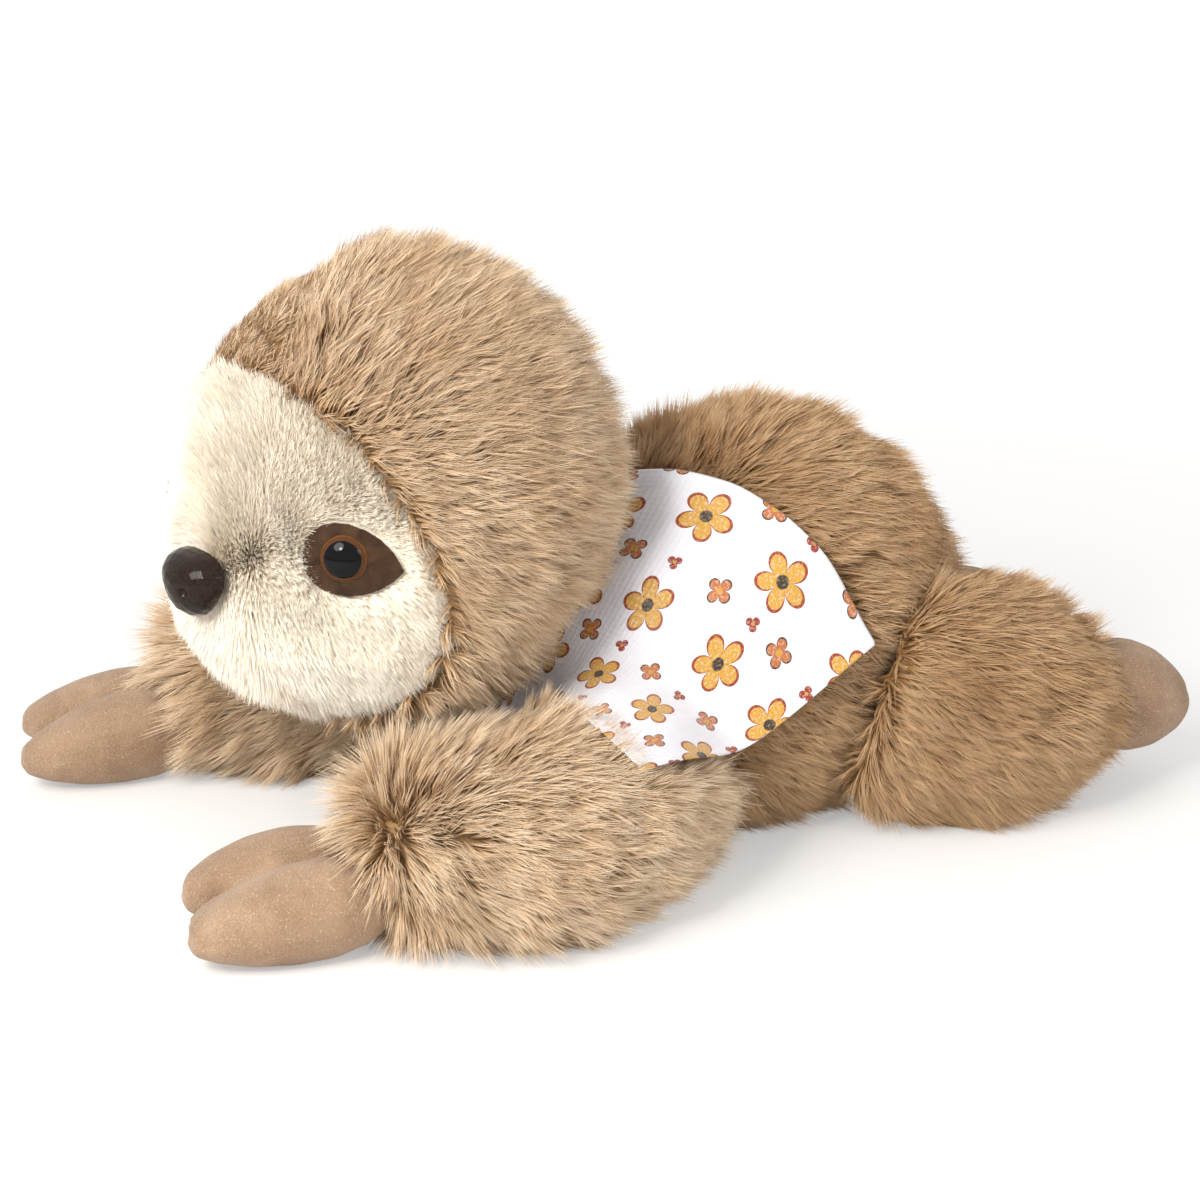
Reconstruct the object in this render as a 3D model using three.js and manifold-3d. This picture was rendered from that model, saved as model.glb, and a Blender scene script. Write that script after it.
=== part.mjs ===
// A plush sloth lying on its belly, with its head raised and turned a little to its left.
// Millimetres, +Z up, head toward -Y, the sloth's left toward +X.
// The origin is on the belly's flat rest face.
import * as THREE from "three";
import { mergeVertices } from "three/addons/utils/BufferGeometryUtils.js";
import Module from "manifold-3d";

const wasm = await Module();
wasm.setup();

// Cloth, filling and clearances
const clearance = 0.3; // between pieces that touch
const fillingClearance = 0.5; // between a skin and its filling
const swingClearance = 0.7; // between pieces that slide past each other
const plushWall = 4.5; // backing cloth and the packed roots of the long pile
const velboaWall = 2.2; // short napped cloth of hands and feet
const overrun = 260; // how far a cutting block passes what it cuts
const leanShare = 0.6; // share of a form's slope that its rings lean by
const weldDistance = 0.001; // corners of one surface closer than this are one corner

// Facets round and along each form: outer surface, and the plainer surface of its hollow and filling
const facets = {
  torso: { fine: [24, 15], coarse: [14, 9] },
  head: { fine: [24, 15], coarse: [20, 12] },
  arm: { fine: [16, 11], coarse: [10, 8] },
  finger: { fine: [12, 8], coarse: [8, 6] },
  leg: { fine: [16, 10], coarse: [10, 7] },
  foot: { fine: [12, 8], coarse: [8, 6] },
  inside: [14, 8],
  nostril: [10, 6],
  faceCurve: 3,
  patchCurve: 9,
  scarfCurve: 8,
};

// Torso
const torsoLength = 128;
const torsoAhead = 1; // the middle of the torso lies this much in front of the origin
const torsoHalfWidth = 54;
const torsoHalfHeight = 56.5;
const torsoSink = 4; // depth of the flat that the belly rests on
const torsoWidthShares = [0.74, 0.86, 0.98, 1.0, 0.9];
const torsoHeightShares = [0.8, 0.8, 0.94, 1.06, 1.0];
const torsoLiftShares = [0.52, 0.7, 0.87, 0.95, 0.7];
const torsoFullness = 0.8; // under 1 makes the ends blunter than a ball's, here and below
const pelletBagSize = { wide: 62, long: 56, tall: 26 };
const pelletBagAhead = 14;

// Head
const headHalfWidth = 55;
const headHalfDepth = 54;
const headHalfHeight = 57.5;
const headAhead = 87; // head centre in front of the origin
const headHeight = 100.5; // head centre above the floor
const headTurn = 17; // degrees to the sloth's left
const jawRise = 15; // the wide jaw stands out from the round head by this much
const jawHeightShare = -0.66;
const jawTallShare = 0.46;
const jawWideShare = 1.2;
const jawDropShare = 0.3; // part of the rise that goes downward
const jawBackShare = 0.3;
const faceDrop = 2.5; // the short pile of the face lies lower than the hood's pile
const faceShares = [
  [0, 0.56], [0.3, 0.52], [0.62, 0.36], [0.84, 0.04], [0.92, -0.3], [0.82, -0.62], [0.45, -0.86], [0, -0.94],
];
const neckSlope = 45; // degrees of the neck's axis below the level
const neckWadRadius = 13;
const headNod = [-5, 8]; // degrees, as are all limits below; positive lowers the chin

// Eyes and nose
const eyeRadius = 6;
const eyeRise = 3.9;
const eyeSideShare = 0.66;
const eyeHeightShare = -0.06;
const shankRadius = 2;
const shankLength = 10.5;
const washerRadius = 7;
const washerThickness = 1.5;
const washerHubShare = 0.5;
const washerRimShare = 0.5;
const washerSettle = 2.6; // a flat washer's middle lies this far behind the curved skin
const feltThickness = 1.1;
const patchLength = 25;
const patchHeight = 18.5;
const patchFrontShare = 0.42; // part of the patch in front of the eye's middle
const patchTipDropShare = 0.16;
const patchBulgeShare = 0.55;
const patchCrownShare = 1.3;
const noseWidth = 21.5;
const noseHeight = 17;
const noseRise = 8.8;
const noseHeightShare = -0.25;
const nostrilRadius = 1.5;
const nostrilSideShare = 0.2;
const nostrilDropShare = 0.12;
const noseCorners = 3;
const noseCornerShare = 0.09;
const noseSettle = 1.9; // its flat back stands this far off the middle of the curved skin

// Arms and hands
const shoulder = { side: 42, ahead: { left: 36, right: 42 } };
const shoulderReach = 24; // from the shoulder's centre to its round back end
const upperArmLength = 43;
const forearmLength = 24;
const cuffLength = 22;
const wristDepth = 16; // wrist's turning point behind the sleeve's end
const armHalfWidth = 26;
const armHalfHeight = 27.5;
const armSink = 1.8; // depth of the flat that the arm rests on
const armWidthShares = [0.92, 1.0, 1.04, 1.0, 0.92];
const armHeightShares = [0.92, 1.0, 1.0, 0.98, 0.9];
const armFullness = 0.62;
const armTurns = { left: [35, -15, -13], right: [20, 18, 14] }; // outward: upper arm, forearm, hand
const armSwing = [-4, 20];
const fingerLength = 53;
const fingerRoot = 8; // how far a finger starts inside the sleeve's end
const fingerHalfWidth = 12.8;
const fingerHalfHeight = 13.8;
const fingerSink = 0.9;
const fingerWidthShares = [0.9, 1.0, 1.0, 0.92];
const fingerHeightShares = [0.9, 1.0, 0.98, 0.85];
const fingerFullness = 0.72;
const knuckleSpacing = 14.5;
const fingertipSpacing = { left: 25, right: 34 }; // the right hand's fingers are spread
const fingerSplay = { left: 1, right: 2 }; // above 1 the fingers keep together at the palm
const handFlex = [0, 25];

// Legs and feet
const hip = { side: 40, behind: 40 };
const hipReach = 22;
const thighLength = 24;
const shinLength = 22;
const legEndLength = 17;
const legHalfWidth = 27;
const legHalfHeight = 33;
const legSink = 1.8;
const legWidthShares = [0.84, 1.0, 1.04, 0.94, 0.78];
const legHeightShares = [0.86, 1.06, 1.03, 0.84, 0.64];
const legLiftShares = [0.98, 1.01, 0.97, 0.9, 0.86];
const legFullness = 0.7;
const legTurn = 2; // degrees outward
const legSwing = [-3, 15];
const footRoot = 12; // how far the foot starts inside the leg's end
const footLength = 39;
const footHalfWidth = 15;
const footHalfHeight = 16;
const ankleHeight = 29;
const footDrop = 8; // the toe end lies lower than the ankle by this much
const footWidthShares = [0.9, 1.0, 1.0, 0.85];
const footHeightShares = [0.95, 1.05, 0.95, 0.7];
const footFullness = 0.75;
const footFlex = [-6, 15];

// Scarf
const scarfThickness = 1.2;
const scarfLift = 0.5; // air between the skin and the scarf
const scarfFold = 1.6; // height of its soft folds
const scarfBandWidth = 9;
const scarfFoldLength = 34;
const scarfBandGap = 1.2; // between the flap and the ends of the band
const scarfMiddle = { side: 42, ahead: 1.5, height: 65 };
const scarfOutShares = [0.68, -0.14, 0.72]; // the way that the flap faces
const scarfFlapSize = 60;
const flapShares = [
  [-0.48, 0.84], [0.05, 0.58], [0.36, 0.36], [0.43, -0.23],
  [0, -0.55], [-0.62, -0.76], [-1.1, -0.3], [-1.4, 0.6],
];

// Shapes shared by several pieces

const up = new THREE.Vector3(0, 0, 1);

function solidOf(geometry) {
  const bare = geometry.clone();
  bare.deleteAttribute("normal");
  bare.deleteAttribute("uv");
  const merged = mergeVertices(bare, weldDistance);
  return new wasm.Manifold(new wasm.Mesh({
    numProp: 3,
    vertProperties: new Float32Array(merged.attributes.position.array),
    triVerts: new Uint32Array(merged.index.array),
  }));
}

function geometryOf(solid) {
  const mesh = solid.getMesh();
  const geometry = new THREE.BufferGeometry();
  geometry.setAttribute("position", new THREE.BufferAttribute(mesh.vertProperties, 3));
  geometry.setIndex(new THREE.BufferAttribute(mesh.triVerts, 1));
  geometry.computeVertexNormals();
  return geometry;
}

function piece(name, solid, material) {
  const mesh = new THREE.Mesh(geometryOf(solid), material);
  mesh.name = name;
  return mesh;
}

function material(color, roughness, metalness = 0) {
  return new THREE.MeshStandardMaterial({ color, roughness, metalness });
}

// A stuffed form: a ball whose long axis follows a path, with half sizes that swell and taper along it.
function stuffedForm(path, halfSizes, fullness, [around, along]) {
  const ball = new THREE.SphereGeometry(1, around, along);
  const place = ball.attributes.position;
  const spine = new THREE.CatmullRomCurve3(path);
  const girth = new THREE.CatmullRomCurve3(halfSizes);
  for (let i = 0; i < place.count; i += 1) {
    const share = THREE.MathUtils.clamp((1 - place.getY(i)) / 2, 0, 1);
    const ring = Math.hypot(place.getX(i), place.getZ(i));
    const swell = ring > 0 ? ring ** (fullness - 1) : 0;
    const ahead = spine.getTangent(share);
    ahead.setZ(ahead.z * leanShare).normalize();
    const side = new THREE.Vector3().crossVectors(ahead, up).normalize();
    const over = new THREE.Vector3().crossVectors(side, ahead);
    const size = girth.getPoint(share);
    const point = spine.getPoint(share)
      .addScaledVector(side, place.getX(i) * swell * size.x)
      .addScaledVector(over, -place.getZ(i) * swell * size.y);
    place.setXYZ(i, point.x, point.y, point.z);
  }
  return ball;
}

function halfSizes(halfWidth, widthShares, halfHeight, heightShares) {
  return widthShares.map(
    (share, i) => new THREE.Vector3(share * halfWidth, heightShares[i] * halfHeight, 0),
  );
}

// The same form with every point moved out along its normal, or in where the distance is negative.
function grown(geometry, distance) {
  const bare = geometry.clone();
  bare.deleteAttribute("normal");
  bare.deleteAttribute("uv");
  const merged = mergeVertices(bare, weldDistance);
  merged.computeVertexNormals();
  const place = merged.attributes.position;
  const normal = merged.attributes.normal;
  const from = new THREE.Vector3();
  const way = new THREE.Vector3();
  for (let i = 0; i < place.count; i += 1) {
    from.fromBufferAttribute(place, i);
    way.fromBufferAttribute(normal, i);
    const step = typeof distance === "function" ? distance(from) : distance;
    from.addScaledVector(way, step);
    place.setXYZ(i, from.x, from.y, from.z);
  }
  return merged;
}

// Everything above a level.
function aboveLevel(solid, level) {
  const block = new THREE.BoxGeometry(2 * overrun, 2 * overrun, overrun);
  block.translate(0, 0, level + overrun / 2);
  return solid.intersect(solidOf(block));
}

// A skin with its hollow and its filling, all cut flat where the form lies on the floor.
function stuffed(makeForm, detail, wall) {
  const form = makeForm(detail.fine);
  const coarse = makeForm(detail.coarse);
  return {
    form,
    outside: aboveLevel(solidOf(form), 0),
    hollow: aboveLevel(solidOf(grown(coarse, -wall)), wall),
    filling: aboveLevel(solidOf(grown(coarse, -wall - fillingClearance)), wall + fillingClearance),
  };
}

// The space that a form sweeps as it turns about an axis between two limits.
function sweptSpace(geometry, pivot, axis, limits) {
  const turns = [limits[0], (limits[0] + limits[1]) / 2, limits[1], 0];
  return [...new Set(turns)]
    .map((turn) => {
      const turned = geometry.clone();
      const rotation = new THREE.Matrix4().makeRotationAxis(axis, THREE.MathUtils.degToRad(turn));
      turned.translate(-pivot.x, -pivot.y, -pivot.z);
      turned.applyMatrix4(rotation);
      turned.translate(pivot.x, pivot.y, pivot.z);
      return solidOf(turned);
    })
    .reduce((sum, solid) => sum.add(solid));
}

// The same as seen from the turning piece, for the seat that it needs in a still neighbour.
function seatSpace(geometry, pivot, axis, limits) {
  return sweptSpace(geometry, pivot, axis, limits.map((turn) => -turn));
}

function ball(centre, radius, [around, along]) {
  const geometry = new THREE.SphereGeometry(radius, around, along);
  geometry.translate(centre.x, centre.y, centre.z);
  return geometry;
}

// A level direction, straight ahead or straight back where the turn outward is zero.
function levelWay(side, turnOut, forward = 1) {
  const angle = THREE.MathUtils.degToRad(turnOut);
  return new THREE.Vector3(side * Math.sin(angle), -forward * Math.cos(angle), 0);
}

function stepOn(from, way, length) {
  return from.clone().addScaledVector(way, length);
}

function atHeights(points, lifts) {
  return points.map((point, i) => point.clone().setZ(lifts[i]));
}

// Torso

const torsoPath = torsoLiftShares.map((share, i) => new THREE.Vector3(
  0,
  -torsoAhead + torsoLength * (i / (torsoLiftShares.length - 1) - 1 / 2),
  share * torsoHalfHeight - torsoSink,
));
const torsoSizes = halfSizes(torsoHalfWidth, torsoWidthShares, torsoHalfHeight, torsoHeightShares);
const torsoForm = (detail) => stuffedForm(torsoPath, torsoSizes, torsoFullness, detail);
const torso = stuffed(torsoForm, facets.torso, plushWall);

// Head

const headCentre = new THREE.Vector3(0, -headAhead, headHeight);
const faceWay = levelWay(1, headTurn);
const headSide = new THREE.Vector3().crossVectors(up, faceWay);

// A point on the head: a direction in shares of side, ahead and up, with a wide round jaw in front.
function headPoint(way) {
  const across = way.x / jawWideShare;
  const over = (way.z - jawHeightShare) / jawTallShare;
  const front = THREE.MathUtils.smoothstep(way.y, -jawBackShare, jawBackShare);
  const rise = jawRise * front * Math.exp(-(across ** 2) - over ** 2);
  return headCentre.clone()
    .addScaledVector(headSide, way.x * (headHalfWidth + rise))
    .addScaledVector(faceWay, way.y * (headHalfDepth + rise))
    .addScaledVector(up, way.z * (headHalfHeight + rise * jawDropShare));
}

const slopeStep = 0.001; // share of the head between two points that give its slope

// The direction square to the head's surface.
function headNormal(way) {
  const slope = (x, z) => {
    const more = headPoint(new THREE.Vector3(way.x + x, way.y, way.z + z).normalize());
    const less = headPoint(new THREE.Vector3(way.x - x, way.y, way.z - z).normalize());
    return more.sub(less);
  };
  return slope(slopeStep, 0).cross(slope(0, slopeStep)).normalize();
}

function headForm([around, along]) {
  const form = new THREE.SphereGeometry(1, around, along);
  form.rotateX(Math.PI / 2);
  const place = form.attributes.position;
  for (let i = 0; i < place.count; i += 1) {
    const point = headPoint(new THREE.Vector3(-place.getX(i), place.getY(i), place.getZ(i)));
    place.setXYZ(i, point.x, point.y, point.z);
  }
  return form;
}

const headFine = headForm(facets.head.fine);
const headCoarse = headForm(facets.head.coarse);
const headHollow = solidOf(grown(headCoarse, -plushWall));

// The neck: a wad of filling in the seam between torso and head, and the space that the head turns in.
const neckAngle = THREE.MathUtils.degToRad(neckSlope);
const neckWay = new THREE.Vector3(0, Math.cos(neckAngle), -Math.sin(neckAngle));
const headReach = headHalfHeight + swingClearance;
const neckPoint = stepOn(headCentre, neckWay, headReach);
const nodAxis = new THREE.Vector3(1, 0, 0);
const headSweep = sweptSpace(ball(headCentre, headReach, facets.head.fine), neckPoint, nodAxis, headNod);
const neckPocket = solidOf(ball(neckPoint, neckWadRadius + swingClearance, facets.inside));
const neckWad = solidOf(ball(neckPoint, neckWadRadius, facets.inside));

function prismOf(outline, depth, curveSegments) {
  return new THREE.ExtrudeGeometry(outline, { depth, curveSegments, bevelEnabled: false });
}

// A prism over the face in front of the head's middle. The panel's is smaller by the clearance.
function facePrism(inset) {
  const wide = headHalfWidth - inset;
  const tall = headHalfHeight - inset;
  const right = faceShares.map(([across, height]) => new THREE.Vector2(across * wide, height * tall));
  const left = right.slice(1, -1).reverse().map((point) => new THREE.Vector2(-point.x, point.y));
  const outline = new THREE.Shape();
  outline.moveTo(right[0].x, right[0].y);
  outline.splineThru([...right.slice(1), ...left, right[0]]);
  const prism = prismOf(outline, overrun, facets.faceCurve);
  prism.applyMatrix4(new THREE.Matrix4().makeBasis(headSide, up, faceWay).setPosition(headCentre));
  return solidOf(prism);
}

// Pieces seated on the face

function seatedMatrix(point, normal) {
  const over = up.clone().addScaledVector(normal, -normal.dot(up)).normalize();
  const across = new THREE.Vector3().crossVectors(normal, over);
  return new THREE.Matrix4().makeBasis(across, normal, over).setPosition(point);
}

function raised(matrix, height) {
  return matrix.clone().multiply(new THREE.Matrix4().makeTranslation(0, height, 0));
}

function seated(geometry, matrix) {
  return geometry.clone().applyMatrix4(matrix);
}

function pin(radius, from, to, around = 12) {
  const cylinder = new THREE.CylinderGeometry(radius, radius, to - from, around);
  cylinder.translate(0, (from + to) / 2, 0);
  return cylinder;
}

// A moulded button with a domed front and a shank behind: eye and nose start from it.
function domedButton(radius, rise, around, steps) {
  const profile = [
    new THREE.Vector2(0, -shankLength),
    new THREE.Vector2(shankRadius, -shankLength),
    new THREE.Vector2(shankRadius, 0),
  ];
  for (let i = 0; i <= steps; i += 1) {
    const angle = (i / steps) * (Math.PI / 2);
    profile.push(new THREE.Vector2(radius * Math.cos(angle), rise * Math.sin(angle)));
  }
  profile[profile.length - 1].x = 0;
  return new THREE.LatheGeometry(profile, around);
}

// A locking washer: a dished ring that grips the shank behind the skin.
function washer() {
  const hub = washerRadius * washerHubShare;
  const bore = shankRadius + clearance / 2;
  const profile = [
    new THREE.Vector2(bore, 0),
    new THREE.Vector2(bore, -washerThickness),
    new THREE.Vector2(hub, -washerThickness),
    new THREE.Vector2(washerRadius, -washerThickness * washerRimShare),
    new THREE.Vector2(washerRadius, 0),
    new THREE.Vector2(bore, 0),
  ];
  return new THREE.LatheGeometry(profile, 16);
}

// The space in the head's filling for a washer and the end of its shank.
function washerPocket(front) {
  const wide = pin(washerRadius + clearance, front - washerThickness - clearance, washerRadius, 20);
  const narrow = pin(shankRadius + clearance, -shankLength * 2, 0);
  return solidOf(wide).add(solidOf(narrow));
}

// Outline of the felt patch round an eye: round toward the nose, pointed behind.
function patchPrism(backward) {
  const front = -patchLength * patchFrontShare * backward;
  const tip = patchLength * (1 - patchFrontShare) * backward;
  const low = -patchHeight * patchTipDropShare;
  const bulge = tip * patchBulgeShare;
  const crown = (patchHeight / 2) * patchCrownShare;
  const outline = new THREE.Shape();
  outline.moveTo(tip, low);
  outline.bezierCurveTo(bulge, crown, front, crown, front, 0);
  outline.bezierCurveTo(front, -crown, bulge, -crown, tip, low);
  const prism = prismOf(outline, 2 * patchLength, facets.patchCurve);
  prism.translate(0, 0, -patchLength);
  prism.rotateX(Math.PI / 2);
  return prism;
}

const faceSkin = grown(headFine, -faceDrop);
const skinDepth = plushWall - faceDrop;
const feltFront = clearance + feltThickness;
const feltLayer = solidOf(grown(faceSkin, feltFront)).subtract(solidOf(grown(faceSkin, clearance)));

function faceSeat(side, sideShare, heightShare) {
  const aheadShare = Math.sqrt(1 - sideShare ** 2 - heightShare ** 2);
  const way = new THREE.Vector3(side * sideShare, aheadShare, heightShare);
  const normal = headNormal(way);
  return seatedMatrix(stepOn(headPoint(way), normal, -faceDrop), normal);
}

const eyes = [["left", 1], ["right", -1]].map(([name, side]) => {
  const seat = faceSeat(side, eyeSideShare, eyeHeightShare);
  const settle = eyeRadius ** 2 / (2 * headHalfWidth);
  const eyeSeat = raised(seat, feltFront + clearance + settle);
  const shankHole = solidOf(seated(pin(shankRadius + clearance, -shankLength, shankLength), seat));
  const washerFront = -skinDepth - washerSettle;
  return {
    name,
    seat,
    eyeSeat,
    shankHole,
    washerSeat: raised(seat, washerFront),
    pocket: geometryOf(washerPocket(washerFront)).applyMatrix4(seat),
    patch: feltLayer.intersect(solidOf(seated(patchPrism(-side), seat))).subtract(shankHole),
  };
});

// The nose: a button drawn out to a rounded triangle, wide side up, with two nostrils.
function noseForm() {
  const button = domedButton(noseWidth / 2, noseRise, 21, 5);
  const place = button.attributes.position;
  for (let i = 0; i < place.count; i += 1) {
    const x = place.getX(i);
    const z = place.getZ(i);
    const onDome = place.getY(i) > 0 || Math.hypot(x, z) > (shankRadius + noseWidth / 2) / 2;
    if (onDome) {
      const corner = 1 + noseCornerShare * Math.sin(noseCorners * Math.atan2(z, x));
      place.setX(i, x * corner);
      place.setZ(i, (z * corner * noseHeight) / noseWidth);
    }
  }
  const x = nostrilSideShare * noseWidth;
  const z = -nostrilDropShare * noseHeight;
  const y = noseRise * Math.sqrt(1 - (2 * Math.hypot(x, z) / noseWidth) ** 2);
  const nostrils = [-x, x].map((across) => new THREE.Vector3(across, y, z))
    .map((place) => solidOf(ball(place, nostrilRadius, facets.nostril)));
  return nostrils.reduce((solid, nostril) => solid.subtract(nostril), solidOf(button));
}

const noseSeat = faceSeat(1, 0, noseHeightShare);
const noseMatrix = raised(noseSeat, clearance + noseSettle);
const noseHole = solidOf(seated(pin(shankRadius + clearance, -shankLength, shankLength), noseSeat));
const noseWasherFront = -skinDepth - washerSettle;
const noseWasherSeat = raised(noseSeat, noseWasherFront);
const nosePocket = geometryOf(washerPocket(noseWasherFront)).applyMatrix4(noseSeat);

const headPockets = [...eyes.map((eye) => eye.pocket), nosePocket].map((pocket) => solidOf(pocket));
const shankHoles = [...eyes.map((eye) => eye.shankHole), noseHole];

function without(solid, cutters) {
  return cutters.reduce((rest, cutter) => rest.subtract(cutter), solid);
}

const headHood = without(solidOf(headFine), [headHollow, facePrism(0), neckPocket]);
const facePanel = without(solidOf(faceSkin).intersect(facePrism(clearance)), [headHollow, ...shankHoles]);
const headInside = solidOf(grown(headCoarse, -plushWall - fillingClearance));
const headFilling = without(headInside, [neckPocket, ...headPockets]);

// Limbs

const torsoNear = grown(torso.form, swingClearance);

function makeArm(name, side) {
  const [upperTurn, foreTurn, handTurn] = armTurns[name];
  const root = new THREE.Vector3(side * shoulder.side, -shoulder.ahead[name], 0);
  const upperWay = levelWay(side, upperTurn);
  const foreWay = levelWay(side, foreTurn);
  const elbow = stepOn(root, upperWay, upperArmLength);
  const fore = stepOn(elbow, foreWay, forearmLength);
  const end = stepOn(fore, foreWay, cuffLength);
  const lift = armHalfHeight - armSink;
  const points = [stepOn(root, upperWay, -shoulderReach), root, elbow, fore, end];
  const path = atHeights(points, points.map(() => lift));
  const sizes = halfSizes(armHalfWidth, armWidthShares, armHalfHeight, armHeightShares);
  const makeForm = (detail) => stuffedForm(path, sizes, armFullness, detail);
  const arm = stuffed(makeForm, facets.arm, plushWall);
  const swingAxis = new THREE.Vector3(0, 0, side);
  const seat = seatSpace(torsoNear, root, swingAxis, armSwing);
  const handWay = levelWay(side, handTurn);
  const wrist = stepOn(end, foreWay, -wristDepth).setZ(lift);
  const hand = makeHand(name, arm, end, handWay, wrist);
  return { arm, root, swingAxis, seat, end, handWay, wrist, hand };
}

function finger(name, base, way, offset, detail) {
  const across = new THREE.Vector3().crossVectors(way, up);
  const steps = fingerWidthShares.length - 1;
  const lift = fingerHalfHeight - fingerSink;
  const path = fingerWidthShares.map((share, i) => {
    const out = (i / steps) ** fingerSplay[name];
    const apart = THREE.MathUtils.lerp(knuckleSpacing, fingertipSpacing[name], out);
    return stepOn(base, way, (fingerLength * i) / steps).addScaledVector(across, offset * apart).setZ(lift);
  });
  const sizes = halfSizes(fingerHalfWidth, fingerWidthShares, fingerHalfHeight, fingerHeightShares);
  return stuffedForm(path, sizes, fingerFullness, detail);
}

// Two fat fingers grown together at the palm.
function makeHand(name, arm, end, way, wrist) {
  const base = stepOn(end, way, -fingerRoot);
  const fingers = [-1 / 2, 1 / 2].map((offset) => stuffed(
    (detail) => finger(name, base, way, offset, detail),
    facets.finger,
    velboaWall,
  ));
  const join = (key) => fingers[0][key].add(fingers[1][key]);
  const flexAxis = new THREE.Vector3().crossVectors(way, up);
  const seat = seatSpace(grown(arm.form, swingClearance), wrist, flexAxis, handFlex);
  return { outside: join("outside"), hollow: join("hollow"), filling: join("filling"), seat, flexAxis };
}

function makeLeg(side) {
  const root = new THREE.Vector3(side * hip.side, hip.behind, 0);
  const way = levelWay(side, legTurn, -1);
  const shinEnd = thighLength + shinLength;
  const reaches = [-hipReach, 0, thighLength, shinEnd, shinEnd + legEndLength];
  const points = reaches.map((reach) => stepOn(root, way, reach));
  const path = atHeights(points, legLiftShares.map((share) => share * (legHalfHeight - legSink)));
  const sizes = halfSizes(legHalfWidth, legWidthShares, legHalfHeight, legHeightShares);
  const makeForm = (detail) => stuffedForm(path, sizes, legFullness, detail);
  const leg = stuffed(makeForm, facets.leg, plushWall);
  const swingAxis = new THREE.Vector3(0, 0, -side);
  const seat = seatSpace(torsoNear, root, swingAxis, legSwing);
  const end = points[points.length - 1];
  return { leg, root, swingAxis, seat, foot: makeFoot(leg, end, way) };
}

function makeFoot(leg, end, way) {
  const base = stepOn(end, way, -footRoot);
  const steps = footWidthShares.length - 1;
  const path = footWidthShares.map((share, i) => stepOn(base, way, (footLength * i) / steps)
    .setZ(ankleHeight - (footDrop * i) / steps));
  const sizes = halfSizes(footHalfWidth, footWidthShares, footHalfHeight, footHeightShares);
  const makeForm = (detail) => stuffedForm(path, sizes, footFullness, detail);
  const foot = stuffed(makeForm, facets.foot, velboaWall);
  const ankle = base.clone().setZ(ankleHeight);
  const flexAxis = new THREE.Vector3().crossVectors(way, up);
  const seat = seatSpace(grown(leg.form, swingClearance), ankle, flexAxis, footFlex);
  return { ...foot, seat, ankle, flexAxis };
}

const arms = { left: makeArm("left", 1), right: makeArm("right", -1) };
const legs = { left: makeLeg(1), right: makeLeg(-1) };

// Filling of the torso, with a bag of pellets under it in the belly.

const bagCentre = new THREE.Vector3(0, -pelletBagAhead, plushWall + pelletBagSize.tall / 4);
const bagForm = new THREE.SphereGeometry(1, ...facets.inside);
bagForm.scale(pelletBagSize.wide / 2, pelletBagSize.long / 2, pelletBagSize.tall / 2);
bagForm.translate(bagCentre.x, bagCentre.y, bagCentre.z);
const pelletBag = torso.filling.intersect(solidOf(bagForm));
const bagSpace = solidOf(grown(bagForm, clearance));

const torsoCover = without(torso.outside, [torso.hollow, headSweep, neckPocket]);
const torsoFilling = without(torso.filling, [headSweep, neckPocket, bagSpace]);

// Scarf: one layer of cloth draped over the torso and the left arm's root, with soft folds.

const scarfFrame = {
  centre: new THREE.Vector3(scarfMiddle.side, -scarfMiddle.ahead, scarfMiddle.height),
  out: new THREE.Vector3(...scarfOutShares).normalize(),
};
const scarfBack = new THREE.Vector3().crossVectors(up, scarfFrame.out).normalize();
const scarfOver = new THREE.Vector3().crossVectors(scarfFrame.out, scarfBack);

function foldHeight(point) {
  const along = point.clone().sub(scarfFrame.centre).dot(scarfBack);
  return scarfFold * Math.sin((Math.PI * along) / scarfFoldLength) ** 2;
}

function drape(lift) {
  const body = grown(torso.form, (point) => scarfLift + lift + foldHeight(point));
  const root = grown(arms.left.arm.form, scarfLift + lift);
  return solidOf(body).add(sweptSpace(root, arms.left.root, arms.left.swingAxis, armSwing));
}

function flapPrism(inset) {
  const size = scarfFlapSize - inset;
  const points = flapShares.map(([back, over]) => new THREE.Vector2(back * size, over * size));
  const outline = new THREE.Shape();
  outline.moveTo(points[0].x, points[0].y);
  outline.lineTo(points[1].x, points[1].y);
  outline.quadraticCurveTo(points[2].x, points[2].y, points[3].x, points[3].y);
  outline.quadraticCurveTo(points[4].x, points[4].y, points[5].x, points[5].y);
  outline.lineTo(points[6].x, points[6].y);
  outline.lineTo(points[7].x, points[7].y);
  outline.closePath();
  const prism = prismOf(outline, overrun, facets.scarfCurve);
  const frame = new THREE.Matrix4().makeBasis(scarfBack, scarfOver, scarfFrame.out);
  prism.applyMatrix4(frame.setPosition(stepOn(scarfFrame.centre, scarfFrame.out, -torsoHalfWidth / 2)));
  return solidOf(prism);
}

const scarfLayer = drape(scarfThickness).subtract(drape(0));
const scarfFlap = scarfLayer.intersect(flapPrism(0)).subtract(headSweep);
const bandOuter = solidOf(grown(torso.form, scarfLift + scarfThickness));
const bandLayer = bandOuter.subtract(solidOf(grown(torso.form, scarfLift)));
const bandSpace = solidOf(ball(headCentre, headReach + scarfBandWidth, facets.head.fine));
const scarfBand = without(bandLayer.intersect(bandSpace), [headSweep, flapPrism(-scarfBandGap)]);

// Colours and finishes

const longPlush = material(0xc9a983, 0.95);
const facePlush = material(0xf3e6cc, 0.95);
const velboa = material(0xbd9a7c, 0.9);
const felt = material(0x4a2c1c, 0.95);
const eyePlastic = material(0x1a0f0a, 0.1);
const nosePlastic = material(0x2e2624, 0.35);
const washerPlastic = material(0xe8e8e4, 0.5);
const satin = material(0xeceaf2, 0.45);
const fibre = material(0xf4f4f2, 1);
const pelletCloth = material(0xd8d4cc, 0.9);

// Assembly

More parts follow.
